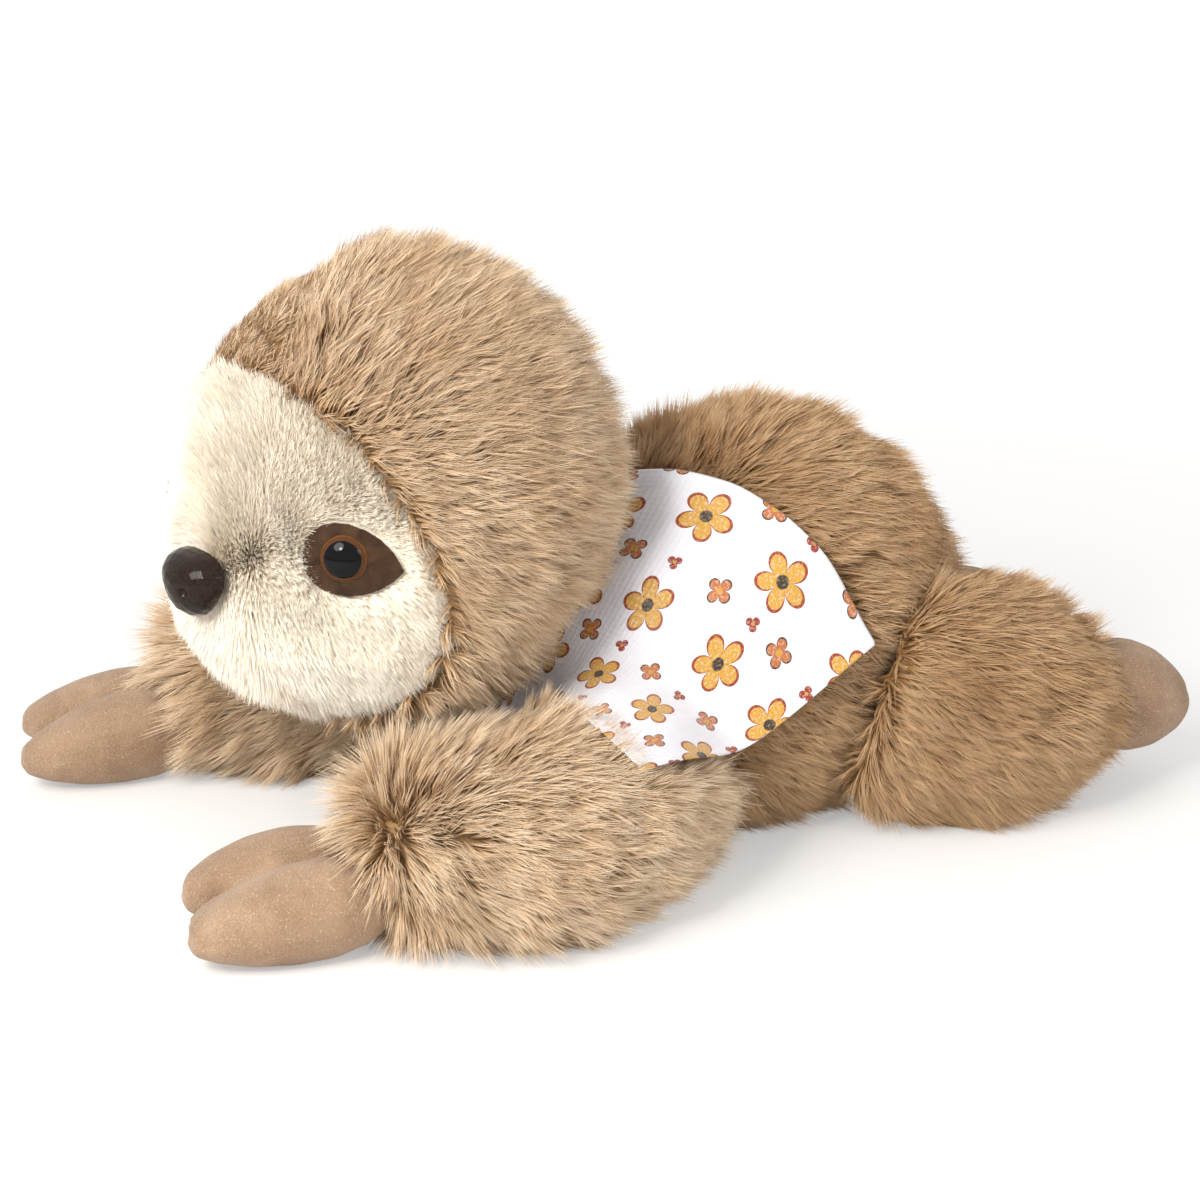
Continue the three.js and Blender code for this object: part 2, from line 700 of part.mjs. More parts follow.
const sloth = new THREE.Group();
sloth.name = "plush_sloth";

sloth.add(piece("torso_cover", torsoCover, longPlush));
sloth.add(piece("torso_stuffing", torsoFilling, fibre));
sloth.add(piece("pellet_bag", pelletBag, pelletCloth));
sloth.add(piece("neck_stuffing", neckWad, fibre));
sloth.add(piece("head_hood", headHood, longPlush));
sloth.add(piece("face_panel", facePanel, facePlush));
sloth.add(piece("head_stuffing", headFilling, fibre));

const nose = piece("nose", noseForm(), nosePlastic);
nose.applyMatrix4(noseMatrix);
const noseWasher = new THREE.Mesh(washer(), washerPlastic);
noseWasher.name = "nose_washer";
noseWasher.applyMatrix4(noseWasherSeat);
sloth.add(nose, noseWasher);

for (const eye of eyes) {
  const patch = piece(`eye_patch_${eye.name}`, eye.patch, felt);
  const button = new THREE.Mesh(domedButton(eyeRadius, eyeRise, 18, 5), eyePlastic);
  button.name = `eye_${eye.name}`;
  button.applyMatrix4(eye.eyeSeat);
  const lock = new THREE.Mesh(washer(), washerPlastic);
  lock.name = `eye_washer_${eye.name}`;
  lock.applyMatrix4(eye.washerSeat);
  sloth.add(patch, button, lock);
}

for (const [name, { arm, seat, hand }] of Object.entries(arms)) {
  const cover = without(arm.outside, [arm.hollow, seat]);
  const filling = without(arm.filling, [seat]);
  const handCover = without(hand.outside, [hand.hollow, hand.seat]);
  const handFilling = without(hand.filling, [hand.seat]);
  sloth.add(piece(`arm_cover_${name}`, cover, longPlush));
  sloth.add(piece(`arm_stuffing_${name}`, filling, fibre));
  sloth.add(piece(`hand_cover_${name}`, handCover, velboa));
  sloth.add(piece(`hand_stuffing_${name}`, handFilling, fibre));
}

for (const [name, { leg, seat, foot }] of Object.entries(legs)) {
  const cover = without(leg.outside, [leg.hollow, seat]);
  const filling = without(leg.filling, [seat]);
  const footCover = without(foot.outside, [foot.hollow, foot.seat]);
  const footFilling = without(foot.filling, [foot.seat]);
  sloth.add(piece(`leg_cover_${name}`, cover, longPlush));
  sloth.add(piece(`leg_stuffing_${name}`, filling, fibre));
  sloth.add(piece(`foot_cover_${name}`, footCover, velboa));
  sloth.add(piece(`foot_stuffing_${name}`, footFilling, fibre));
}

sloth.add(piece("scarf_flap", scarfFlap, satin));
sloth.add(piece("scarf_band", scarfBand, satin));

export default sloth;
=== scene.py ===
import math
import random

import bmesh
import bpy
import numpy as np
from mathutils import Matrix, Vector, noise
from mathutils.bvhtree import BVHTree


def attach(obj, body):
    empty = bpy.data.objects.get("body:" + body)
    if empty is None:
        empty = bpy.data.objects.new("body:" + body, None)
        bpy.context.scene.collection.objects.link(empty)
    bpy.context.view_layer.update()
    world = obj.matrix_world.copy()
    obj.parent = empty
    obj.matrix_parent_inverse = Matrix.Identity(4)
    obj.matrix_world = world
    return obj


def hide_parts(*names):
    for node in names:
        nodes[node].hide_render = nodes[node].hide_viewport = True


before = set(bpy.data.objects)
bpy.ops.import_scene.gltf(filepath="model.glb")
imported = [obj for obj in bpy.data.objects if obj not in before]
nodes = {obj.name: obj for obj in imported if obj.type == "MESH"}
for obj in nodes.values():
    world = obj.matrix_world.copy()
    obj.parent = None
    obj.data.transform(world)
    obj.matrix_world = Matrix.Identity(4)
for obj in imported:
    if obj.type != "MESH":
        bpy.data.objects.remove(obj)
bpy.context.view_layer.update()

# Camera, light and floor.
# The camera stands in front of the toy's left shoulder and looks a little down on it. A soft lamp is in
# front of the face, a small one beside it puts the points of light in the eyes, and a weak one is behind,
# all in an even pale room. The floor is white paper.

camera_turn = math.radians(67)
camera_rise = math.radians(20)
camera_distance = 0.85
camera_lens = 94.1
looked_at = Vector((-0.008, -0.025, 0.055))
room_strength = 0.72
paper_colour = (0.9, 0.885, 0.87)
paper_glow = 1.08
paper_near_share = 0.36
paper_near = 0.24
paper_far = 0.5

camera_way = Vector((
    math.sin(camera_turn) * math.cos(camera_rise),
    -math.cos(camera_turn) * math.cos(camera_rise),
    math.sin(camera_rise),
))
camera_data = bpy.data.cameras.new("camera")
camera_data.lens = camera_lens
camera_data.sensor_width = 36
camera_data.clip_end = 20
camera = bpy.data.objects.new("camera", camera_data)
camera.location = looked_at + camera_way * camera_distance
camera.rotation_euler = camera_way.to_track_quat("Z", "Y").to_euler()
bpy.context.scene.collection.objects.link(camera)
bpy.context.scene.camera = camera
bpy.context.scene.view_settings.view_transform = "Standard"


def put(tree, kind, inputs=(), **settings):
    """Adds a node and fills its sockets: a socket is linked, anything else is set as the value."""
    node = tree.nodes.new(kind)
    for name, value in settings.items():
        setattr(node, name, value)
    for key, value in dict(inputs).items():
        if isinstance(value, bpy.types.NodeSocket):
            tree.links.new(value, node.inputs[key])
        else:
            node.inputs[key].default_value = value
    return node


def maths(tree, how, *values):
    return put(tree, "ShaderNodeMath", dict(enumerate(values)), operation=how).outputs[0]


def vectors(tree, how, *values):
    node = put(tree, "ShaderNodeVectorMath", dict(enumerate(values)), operation=how)
    return node.outputs["Value" if how == "LENGTH" else "Vector"]


def mapped(tree, value, *ends):
    """A value moved between ranges: the old one's two ends, then the new one's if it isn't 0 to 1."""
    return put(tree, "ShaderNodeMapRange", dict(enumerate((value, *ends)))).outputs[0]


def object_place(tree):
    return put(tree, "ShaderNodeTexCoord").outputs["Object"]


def material_tree(name):
    made = bpy.data.materials.new(name)
    made.use_nodes = True
    made.node_tree.nodes.clear()
    return made, made.node_tree


def opaque(colour):
    return (*colour, 1)


def lamp(name, place, size, power, tint):
    data = bpy.data.lights.new(name, "AREA")
    data.shape = "DISK"
    data.size = size
    data.energy = power
    data.color = tint
    made = bpy.data.objects.new(name, data)
    made.location = place
    made.rotation_euler = (Vector(place) - looked_at).to_track_quat("Z", "Y").to_euler()
    bpy.context.scene.collection.objects.link(made)


lamp("key_lamp", (0.3, -0.6, 0.6), 0.45, 4.7, (1.0, 0.97, 0.92))
lamp("catch_lamp", (0.42, -0.55, 0.5), 0.12, 1.8, (1.0, 0.98, 0.95))
lamp("fill_lamp", (0.95, 0.45, 0.6), 0.4, 1.8, (1.0, 0.98, 0.96))

world = bpy.data.worlds.new("studio")
world.use_nodes = True
bpy.context.scene.world = world
room = world.node_tree
room.nodes.clear()
room_light = put(room, "ShaderNodeBackground", {"Color": (1, 1, 1, 1), "Strength": room_strength})
room_seen = put(room, "ShaderNodeBackground", {"Color": (1, 1, 1, 1), "Strength": 1.0})
sight = put(room, "ShaderNodeLightPath").outputs
seen = maths(room, "MAXIMUM", sight["Is Camera Ray"], sight["Is Glossy Ray"])
seen = maths(room, "MAXIMUM", seen, sight["Is Transmission Ray"])
room_mix = put(room, "ShaderNodeMixShader", {0: seen, 1: room_light.outputs[0], 2: room_seen.outputs[0]})
put(room, "ShaderNodeOutputWorld", {"Surface": room_mix.outputs[0]})

floor_bm = bmesh.new()
bmesh.ops.create_grid(floor_bm, x_segments=1, y_segments=1, size=6)
floor_mesh = bpy.data.meshes.new("floor")
floor_bm.to_mesh(floor_mesh)
floor_bm.free()
floor = bpy.data.objects.new("floor", floor_mesh)
bpy.context.scene.collection.objects.link(floor)

# The paper is exposed to white, as in the photo. Near the toy it shows the shadow, and further off it is
# even.
paper, sweep = material_tree("white_sweep")
paper_lit = put(sweep, "ShaderNodeBsdfDiffuse", {"Color": opaque(paper_colour)})
paper_white = put(sweep, "ShaderNodeEmission", {"Color": (1, 1, 1, 1), "Strength": paper_glow})
paper_reach = vectors(sweep, "LENGTH", object_place(sweep))
paper_even = mapped(sweep, paper_reach, paper_near, paper_far, paper_near_share)
paper_sight = put(sweep, "ShaderNodeLightPath").outputs["Is Camera Ray"]
paper_mix = put(sweep, "ShaderNodeMixShader", {
    0: maths(sweep, "MULTIPLY", paper_sight, paper_even),
    1: paper_lit.outputs[0],
    2: paper_white.outputs[0],
})
put(sweep, "ShaderNodeOutputMaterial", {"Surface": paper_mix.outputs[0]})
floor.data.materials.append(paper)

# Scarf, its shape.
# A kerchief of thin satin tied round the neck, with one corner spread over the left shoulder. It comes
# before the body because the pile under it is pressed flat. It lies on the pile and bridges the dip beside
# the arm.

scarf_middle = Vector((0.042, -0.0015, 0.065))
scarf_out = Vector((0.68, -0.14, 0.72)).normalized()
scarf_back = Vector((0, 0, 1)).cross(scarf_out).normalized()
scarf_over = scarf_out.cross(scarf_back)
scarf_neck_top = Vector((-0.040, 0.050))
scarf_tip = Vector((0.0285, -0.0125))
scarf_low_corner = Vector((-0.042, -0.0505))
scarf_neck_low = Vector((-0.068, -0.014))
scarf_upper_bulge = Vector((0.0066, 0.0070))
scarf_lower_bulge = Vector((0.0020, -0.0016))
scarf_lift = 0.0018
scarf_drop = 0.08
scarf_bridging = 90
scarf_fold_height = 0.0021
fold_waves = 2.6
fold_sway = 0.35
fold_fade = 0.55
ripple_share = 0.5
crumple_share = 0.9
crumple_scale = (3.1, 3.4)
scarf_steps = (58, 50)
scarf_flat_size = (0.092, 0.094)


def cad_mesh(node):
    """A copy of a CAD node's mesh with its loose triangles joined."""
    bm = bmesh.new()
    bm.from_mesh(nodes[node].data)
    bmesh.ops.remove_doubles(bm, verts=bm.verts, dist=1e-5)
    return bm


def tree_of(names):
    """One search tree over the meshes of several CAD nodes."""
    bm = bmesh.new()
    for name in names:
        bm.from_mesh(nodes[name].data)
    tree = BVHTree.FromBMesh(bm)
    bm.free()
    return tree


def scarf_spot(down, out):
    """A place on the flat scarf: down runs along the neck edge and out runs from it to the far edge."""
    neck = scarf_neck_top.lerp(scarf_neck_low, down)
    far = scarf_tip.lerp(scarf_low_corner, down) + scarf_lower_bulge * 4 * down * (1 - down)
    return neck.lerp(far, out) + scarf_upper_bulge * 4 * out * (1 - out) * (1 - down) ** 2


def scarf_point(spot, height):
    return scarf_middle + scarf_back * spot.x + scarf_over * spot.y + scarf_out * height


def draped_scarf():
    """Drops the flat scarf on the toy along its facing, then lets it bridge what it can't follow."""
    under = tree_of(["torso_cover", "arm_cover_left"])
    columns, rows = scarf_steps
    spots = [[scarf_spot(i / columns, j / rows) for j in range(rows + 1)] for i in range(columns + 1)]
    floor_height = []
    for line in spots:
        heights = []
        for spot in line:
            hit = under.ray_cast(scarf_point(spot, scarf_drop), -scarf_out, 2 * scarf_drop)
            heights.append(scarf_drop - hit[3] + scarf_lift if hit[0] else None)
        floor_height.append(heights)
    seen = [h for line in floor_height for h in line if h is not None]
    floor_height = [[h if h is not None else min(seen) for h in line] for line in floor_height]
    resting = np.array(floor_height)
    height = resting.copy()
    for _ in range(scarf_bridging):
        padded_height = np.pad(height, 1, mode="edge")
        around = (
            padded_height[:-2, 1:-1] + padded_height[2:, 1:-1]
            + padded_height[1:-1, :-2] + padded_height[1:-1, 2:]
        ) / 4
        height = np.maximum(resting, around)
    bm = bmesh.new()
    flat = bm.loops.layers.uv.new("OFBake")
    grid = bmesh.ops.create_grid(bm, x_segments=columns, y_segments=rows, size=0.5)["verts"]
    share = {}
    for v in grid:
        down, out = v.co.x + 0.5, v.co.y + 0.5
        share[v] = (down, out)
        i, j = round(down * columns), round(out * rows)
        wave = fold_waves * down + fold_sway * math.sin(3 * out)
        ripple = math.sin(2 * math.pi * wave) * (1 - fold_fade * out)
        crumple = noise.noise(Vector((down * crumple_scale[0], out * crumple_scale[1], 0.7)))
        fold = scarf_fold_height * (1 + ripple_share * ripple + crumple_share * crumple)
        v.co = scarf_point(spots[i][j], height[i][j] + fold)
    for face in bm.faces:
        for loop in face.loops:
            loop[flat].uv = share[loop.vert]
    bmesh.ops.recalc_face_normals(bm, faces=bm.faces)
    bm.normal_update()
    if sum(f.normal.dot(scarf_out) for f in bm.faces) < 0:
        bmesh.ops.reverse_faces(bm, faces=bm.faces)
    return bm


scarf_bm = draped_scarf()
scarf_tree = BVHTree.FromBMesh(scarf_bm)
band_tree = tree_of(["scarf_band"])

# Inside the toy.
# Polyester fibre fills every part, with a cloth bag of plastic pellets in the belly for weight. A plastic
# washer locks each eye and the nose behind the cloth. None of it shows on a whole toy.

wad_colours = ((0.72, 0.72, 0.7), (0.86, 0.86, 0.84))
bag_colours = ((0.5, 0.45, 0.38), (0.66, 0.61, 0.53))
washer_colours = ((0.74, 0.74, 0.71), (0.82, 0.82, 0.79))
wads = {f"{part}_stuffing": part for part in ("head", "neck", "torso")}
wads |= {
    f"{part}_stuffing_{side}": f"{part}_{side}"
    for part in ("arm", "hand", "leg", "foot")
    for side in ("left", "right")
}
wad_voxel = 0.002
wad_inset = 0.0012
wad_lump_scale = 160
bag_dent = 0.0005
pellet_scale = 420
limbs = [
    ("arm", "left", Vector((0.12, -0.85, -0.3))),
    ("arm", "right", Vector((-0.3, -0.85, -0.3))),
    ("leg", "left", Vector((0.15, 0.75, -0.4))),
    ("leg", "right", Vector((-0.15, 0.75, -0.4))),
]
fingers_from = 0.6
taper_start = 0.3
taper_curve = 1.3
fingertip_height = 0.66
fingertip_width = 0.82
far_foot_height = 0.84


def finger_taper(cover, way):
    """Moves a place in a hand so that its fingers get lower and narrower toward their tips."""
    way = Vector((way.x, way.y, 0)).normalized()
    side_way = Vector((0, 0, 1)).cross(way)
    places = [v.co for v in nodes[cover].data.vertices]
    start = min(p.dot(way) for p in places)
    end = max(p.dot(way) for p in places)
    sides = [p.dot(side_way) for p in places if p.dot(way) > start + fingers_from * (end - start)]
    parting = (min(sides) + max(sides)) / 2
    near_middle = (min(sides) + parting) / 2
    far_middle = (max(sides) + parting) / 2

    def tapered(at):
        share = (at.dot(way) - start) / (end - start)
        taper = max(0.0, (share - taper_start) / (1 - taper_start)) ** taper_curve
        side = at.dot(side_way)
        middle = near_middle if side < parting else far_middle
        moved = at + side_way * (middle - side) * (1 - fingertip_width) * taper
        moved.z = at.z * (1 - (1 - fingertip_height) * taper)
        return moved

    return tapered


def lowered(at):
    return Vector((at.x, at.y, at.z * far_foot_height))


paw_shapes = {
    "hand_left": finger_taper("hand_cover_left", limbs[0][2]),
    "hand_right": finger_taper("hand_cover_right", limbs[1][2]),
    "foot_right": lowered,
}


def shape_paw(made, body):
    if body in paw_shapes:
        for v in made.data.vertices:
            v.co = paw_shapes[body](v.co)


def remeshed(name, bm, voxel, rounds):
    """An object of even faces over a closed shape, with its facets smoothed away."""
    mesh = bpy.data.meshes.new(name)
    bm.to_mesh(mesh)
    bm.free()
    made = bpy.data.objects.new(name, mesh)
    bpy.context.scene.collection.objects.link(made)
    remesh = made.modifiers.new("even_faces", "REMESH")
    remesh.mode = "VOXEL"
    remesh.voxel_size = voxel
    smooth = made.modifiers.new("rounding", "SMOOTH")
    smooth.factor = 0.5
    smooth.iterations = rounds
    apply_modifiers(made)
    return made


def apply_modifiers(made):
    bpy.context.view_layer.update()
    graph = bpy.context.evaluated_depsgraph_get()
    mesh = bpy.data.meshes.new_from_object(made.evaluated_get(graph))
    old = made.data
    made.modifiers.clear()
    made.data = mesh
    bpy.data.meshes.remove(old)
    mesh.name = made.name


def finish_piece(made, body, material):
    made.data.materials.clear()
    made.data.materials.append(material)
    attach(made, body)


def group_of(name, given, made):
    """An empty shader node group with named inputs and outputs, and its two end nodes."""
    tree = bpy.data.node_groups.new(name, "ShaderNodeTree")
    for key, kind, value in given:
        tree.interface.new_socket(key, in_out="INPUT", socket_type=kind).default_value = value
    for key, kind in made:
        tree.interface.new_socket(key, in_out="OUTPUT", socket_type=kind)
    return tree, put(tree, "NodeGroupInput"), put(tree, "NodeGroupOutput")


def nap_group():
    """The surface of a short nap: fibres a fraction of a millimetre across, brushed in soft patches."""
    tree, given, made = group_of(
        "short_nap",
        [("Vector", "NodeSocketVector", (0, 0, 0)), ("Fibre Scale", "NodeSocketFloat", 1500.0),
         ("Brush Scale", "NodeSocketFloat", 70.0)],
        [("Height", "NodeSocketFloat"), ("Brushed", "NodeSocketFloat"), ("Specks", "NodeSocketFloat")],
    )
    place, fibre_scale, brush_scale = given.outputs[:3]
    fibre = put(tree, "ShaderNodeTexNoise",
                {"Vector": place, "Scale": fibre_scale, "Detail": 3.0, "Roughness": 0.7}).outputs[0]
    brushed = put(tree, "ShaderNodeTexNoise",
                  {"Vector": place, "Scale": brush_scale, "Detail": 4.0, "Distortion": 0.6}).outputs[0]
    # The third output marks the highest fibres, which the velboa lightens as painted glints.
    for i, found in enumerate((fibre, mapped(tree, brushed, 0.32, 0.68), mapped(tree, fibre, 0.56, 0.7))):
        tree.links.new(found, made.inputs[i])
    return tree


short_nap = nap_group()


def blended(tree, share, a, b):
    return put(tree, "ShaderNodeMix", {0: share, 6: a, 7: b}, data_type="RGBA").outputs[2]


def two_tone(tree, share, colours):
    return blended(tree, share, opaque(colours[0]), opaque(colours[1]))


def shaded(tree, colour, height, distance, **finish):
    """The end of a material: a shader with a bump, whose plain values stand on its own sockets."""
    inputs = {key.replace("_", " "): value for key, value in finish.items()}
    inputs["Base Color"] = colour
    if height is not None:
        inputs["Normal"] = put(tree, "ShaderNodeBump", {"Height": height, "Distance": distance}).outputs[0]
    shader = put(tree, "ShaderNodeBsdfPrincipled", inputs)
    put(tree, "ShaderNodeOutputMaterial", {"Surface": shader.outputs[0]})


def grain_group():
    """Fine moulded or leathery grain: small cells with a little noise over them."""
    tree, given, made = group_of(
        "fine_grain",
        [("Vector", "NodeSocketVector", (0, 0, 0)), ("Cell Scale", "NodeSocketFloat", 900.0)],
        [("Height", "NodeSocketFloat"), ("Mottle", "NodeSocketFloat")],
    )
    place, scale = given.outputs[:2]
    cells = put(tree, "ShaderNodeTexVoronoi", {"Vector": place, "Scale": scale}, feature="SMOOTH_F1")
    cloud = put(tree, "ShaderNodeTexNoise", {"Vector": place, "Scale": scale, "Detail": 5.0}).outputs[0]
    height = maths(tree, "MULTIPLY", cells.outputs["Distance"], cloud)
    for i, found in enumerate((height, mapped(tree, cloud, 0.3, 0.7))):
        tree.links.new(found, made.inputs[i])
    return tree


fine_grain = grain_group()


def plastic_material(name, colours, cell_scale, depth, **finish):
    made, tree = material_tree(name)
    grain = put(tree, "ShaderNodeGroup", {"Vector": object_place(tree), "Cell Scale": cell_scale},
                node_tree=fine_grain).outputs
    shaded(tree, two_tone(tree, grain["Mottle"], colours), grain["Height"], depth, **finish)
    return made


wad_fibre, wad_tree = material_tree("polyester_wad")
wad_nap = put(wad_tree, "ShaderNodeGroup", {"Vector": object_place(wad_tree), "Fibre Scale": 700.0},
              node_tree=short_nap).outputs["Height"]
shaded(wad_tree, two_tone(wad_tree, wad_nap, wad_colours), wad_nap, 0.0012, Roughness=0.9, Sheen_Weight=0.2)
for node, body in wads.items():
    wad = remeshed(node.replace("stuffing", "wad"), cad_mesh(node), wad_voxel, 2)
    shape_paw(wad, body)
    for v in wad.data.vertices:
        v.co -= v.normal * wad_inset * (1.3 + noise.noise(v.co * wad_lump_scale))
    finish_piece(wad, body, wad_fibre)
    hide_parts(node)

bag_cloth, bag_tree = material_tree("pellet_bag_cloth")
bag_threads = put(bag_tree, "ShaderNodeTexWave", {"Vector": object_place(bag_tree), "Scale": 420.0},
                  bands_direction="DIAGONAL").outputs[1]
shaded(bag_tree, two_tone(bag_tree, bag_threads, bag_colours), bag_threads, 0.0002, Roughness=0.85)
bag = remeshed("pellet_sack", cad_mesh("pellet_bag"), 0.0016, 3)
for v in bag.data.vertices:
    v.co -= v.normal * bag_dent * (1 + noise.noise(v.co * pellet_scale))
finish_piece(bag, "torso", bag_cloth)
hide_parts("pellet_bag")

washer_plastic = plastic_material("washer_plastic", washer_colours, 800.0, 0.00005, Roughness=0.45)
for node in ("nose_washer", "eye_washer_left", "eye_washer_right"):
    nodes[node].data.materials.clear()
    nodes[node].data.materials.append(washer_plastic)

# Hands and feet.
# Velboa, a cloth with a nap of about a millimetre, sewn from an upper and a lower half with the seam
# turned inside round the side. Each hand is two fat fingers that part halfway, and each foot is one mitten.

velboa_voxel = 0.0009
paw_seam_height = {"hand": 0.0138, "foot": 0.0255}
paw_seam_width = 0.0011
paw_seam_depth = 0.0008
seam_steepness = 0.75
paw_rounding = 7
velboa_colours = ((0.31, 0.19, 0.115), (0.45, 0.3, 0.195))
# The pale specks are painted glints on the nap's highest fibres, and the dark points painted shade in its
# lowest hollows.
velboa_painted_glint = (0.78, 0.61, 0.45)
velboa_painted_pit_shade = (0.2, 0.11, 0.06)


def round_off(made, rounds):
    """Evens out the dents that the seam and the fingers' taper leave at the tips."""
    bm = bmesh.new()
    bm.from_mesh(made.data)
    for _ in range(rounds):
        bmesh.ops.smooth_vert(
            bm, verts=bm.verts, factor=0.5, use_axis_x=True, use_axis_y=True, use_axis_z=True
        )
    bm.to_mesh(made.data)
    bm.free()


def shade_smooth(made):
    for face in made.data.polygons:
        face.use_smooth = True


def velboa_material():
    made, tree = material_tree("velboa")
    nap = put(tree, "ShaderNodeGroup", {"Vector": object_place(tree), "Fibre Scale": 2200.0},
              node_tree=short_nap).outputs
    colour = two_tone(tree, nap["Brushed"], velboa_colours)
    # Painted glints on the highest fibres, then painted shade in the lowest hollows of the nap.
    colour = blended(tree, maths(tree, "MULTIPLY", nap["Specks"], 0.7), colour, opaque(velboa_painted_glint))
    painted_pit_shade = mapped(tree, nap["Height"], 0.42, 0.33, 0.0, 0.6)
    colour = blended(tree, painted_pit_shade, colour, opaque(velboa_painted_pit_shade))
    shaded(tree, colour, nap["Height"], 0.0005, Roughness=0.85, Specular_IOR_Level=0.2,
           Sheen_Weight=0.3, Sheen_Roughness=0.45, Sheen_Tint=(1.0, 0.93, 0.85, 1))
    return made


velboa = velboa_material()
for limb, side, way in limbs:
    limb_end = {"arm": "hand", "leg": "foot"}[limb]
    node = f"{limb_end}_cover_{side}"
    paw = remeshed(f"{limb_end}_velboa_{side}", cad_mesh(node), velboa_voxel, 12)
    seam_height = paw_seam_height[limb_end]
    for v in paw.data.vertices:
        near = 1 - abs(v.co.z - seam_height) / paw_seam_width
        if near > 0 and abs(v.normal.z) < seam_steepness:
            v.co -= v.normal * paw_seam_depth * near
    shape_paw(paw, f"{limb_end}_{side}")
    round_off(paw, paw_rounding)
    shade_smooth(paw)
    finish_piece(paw, f"{limb_end}_{side}", velboa)
    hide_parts(node)

# Felt patches.
# A pointed oval of dark brown felt lies under each eye. Its cut edge is fuzzy, and the cream pile round it
# falls over the edge.

felt_colours = ((0.03, 0.013, 0.006), (0.07, 0.034, 0.015))

felt, felt_tree = material_tree("eye_felt")
felt_nap = put(felt_tree, "ShaderNodeGroup",
               {"Vector": object_place(felt_tree), "Fibre Scale": 2600.0, "Brush Scale": 260.0},
               node_tree=short_nap).outputs
shaded(felt_tree, two_tone(felt_tree, felt_nap["Brushed"], felt_colours), felt_nap["Height"], 0.0004,
       Roughness=0.9, Specular_IOR_Level=0.15, Sheen_Weight=0.15)
for side in ("left", "right"):
    patch = remeshed(f"eye_felt_{side}", cad_mesh(f"eye_patch_{side}"), 0.00035, 4)
    shade_smooth(patch)
    finish_piece(patch, "head", felt)
    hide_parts(f"eye_patch_{side}")

# Eyes.
# Moulded buttons of clear brown plastic with a big black pupil, pushed through the felt and the cloth on a
# shank. A thin paler ring near the rim is a painted glint.

head_centre = Vector((0, -0.087, 0.1005))
eye_radius = 0.006
eye_rise = 0.0039
eye_pulled_in = 0.0022
eye_edge = 0.0007
eye_shank_radius = 0.002
eye_shank_length = 0.0105
pupil_share = 0.78
fleck_share = 0.04
# The third ring colour is a painted glint, a paler brown just inside the edge.
eye_ring_and_glint_colours = ((0.015, 0.006, 0.003), (0.085, 0.032, 0.011), (0.2, 0.085, 0.026))
pupil_colour = (0.003, 0.003, 0.0035)


def button_seat(node, rise):
    """The middle of a button's back edge and the way that it faces, from its CAD solid."""
    bm = cad_mesh(node)
    places = np.array([v.co for v in bm.verts])
    bm.free()
    middle = places.mean(axis=0)
    axis = np.linalg.svd(places - middle)[2][0]
    if np.dot(axis, middle - np.array(head_centre)) < 0:
        axis = -axis
    front = ((places - middle) @ axis).max()
    return Vector(middle + axis * (front - rise)), Vector(axis)


def eye_button():
    """A dome, its rolled edge and its shank, turned about +Z."""
    bm = bmesh.new()
    steps = 14
    turns = [math.pi / 2 * i / steps for i in range(steps + 1)]
    profile = [(eye_radius * math.sin(turn), eye_rise * math.cos(turn)) for turn in turns]
    profile += [
        (eye_radius - 0.0001, -eye_edge / 2),
        (eye_radius - eye_edge, -eye_edge),
        (eye_shank_radius, -eye_edge),
        (eye_shank_radius, -eye_shank_length + 0.0004),
        (eye_shank_radius - 0.0005, -eye_shank_length),
        (0, -eye_shank_length),
    ]
    verts = [bm.verts.new((out, 0, high)) for out, high in profile]
    edges = [bm.edges.new(pair) for pair in zip(verts, verts[1:])]
    bmesh.ops.spin(bm, geom=verts + edges, cent=(0, 0, 0), axis=(0, 0, 1), dvec=(0, 0, 0),
                   angle=2 * math.pi, steps=48, use_merge=True, use_duplicate=False)
    bmesh.ops.remove_doubles(bm, verts=bm.verts, dist=1e-6)
    bmesh.ops.recalc_face_normals(bm, faces=bm.faces)
    return bm


def object_of(name, bm, smooth_turn):
    """An object from a finished bmesh, smooth but for edges sharper than smooth_turn degrees."""
    mesh = bpy.data.meshes.new(name)
    for face in bm.faces:
        face.smooth = True
    for edge in bm.edges:
        if len(edge.link_faces) == 2 and edge.calc_face_angle() > math.radians(smooth_turn):
            edge.smooth = False
    bm.to_mesh(mesh)
    bm.free()
    made = bpy.data.objects.new(name, mesh)
    bpy.context.scene.collection.objects.link(made)
    return made


def ramped(tree, share, stops):
    """A colour ramp through the given places and colours."""
    ramp = put(tree, "ShaderNodeValToRGB", {0: share})
    while len(ramp.color_ramp.elements) < len(stops):
        ramp.color_ramp.elements.new(0.5)
    for element, (place, colour) in zip(ramp.color_ramp.elements, stops):
        element.position = place
        element.color = opaque(colour)
    return ramp.outputs[0]


def eye_material(name, middle, way):
    """Rings round the button's axis: a black pupil, a brown ring with a painted glint near its rim, and a
    dark edge.
    """
    made, tree = material_tree(name)
    at = object_place(tree)
    off = vectors(tree, "CROSS_PRODUCT", vectors(tree, "SUBTRACT", at, middle), way)
    reach = maths(tree, "MULTIPLY", vectors(tree, "LENGTH", off), 1 / eye_radius)
    flecks = put(tree, "ShaderNodeTexNoise", {"Vector": at, "Scale": 900.0, "Detail": 2.0}).outputs[0]
    reach = maths(tree, "ADD", reach, maths(tree, "MULTIPLY", flecks, fleck_share))
    edge_brown, ring_brown, painted_rim_glint = eye_ring_and_glint_colours
    rings = ramped(tree, reach, [
        (0.0, pupil_colour), (pupil_share, pupil_colour), (pupil_share + 0.03, ring_brown),
        (0.93, ring_brown), (0.96, painted_rim_glint), (1.0, edge_brown),
    ])
    shaded(tree, rings, None, 0, Roughness=0.05, Specular_IOR_Level=0.16)
    return made


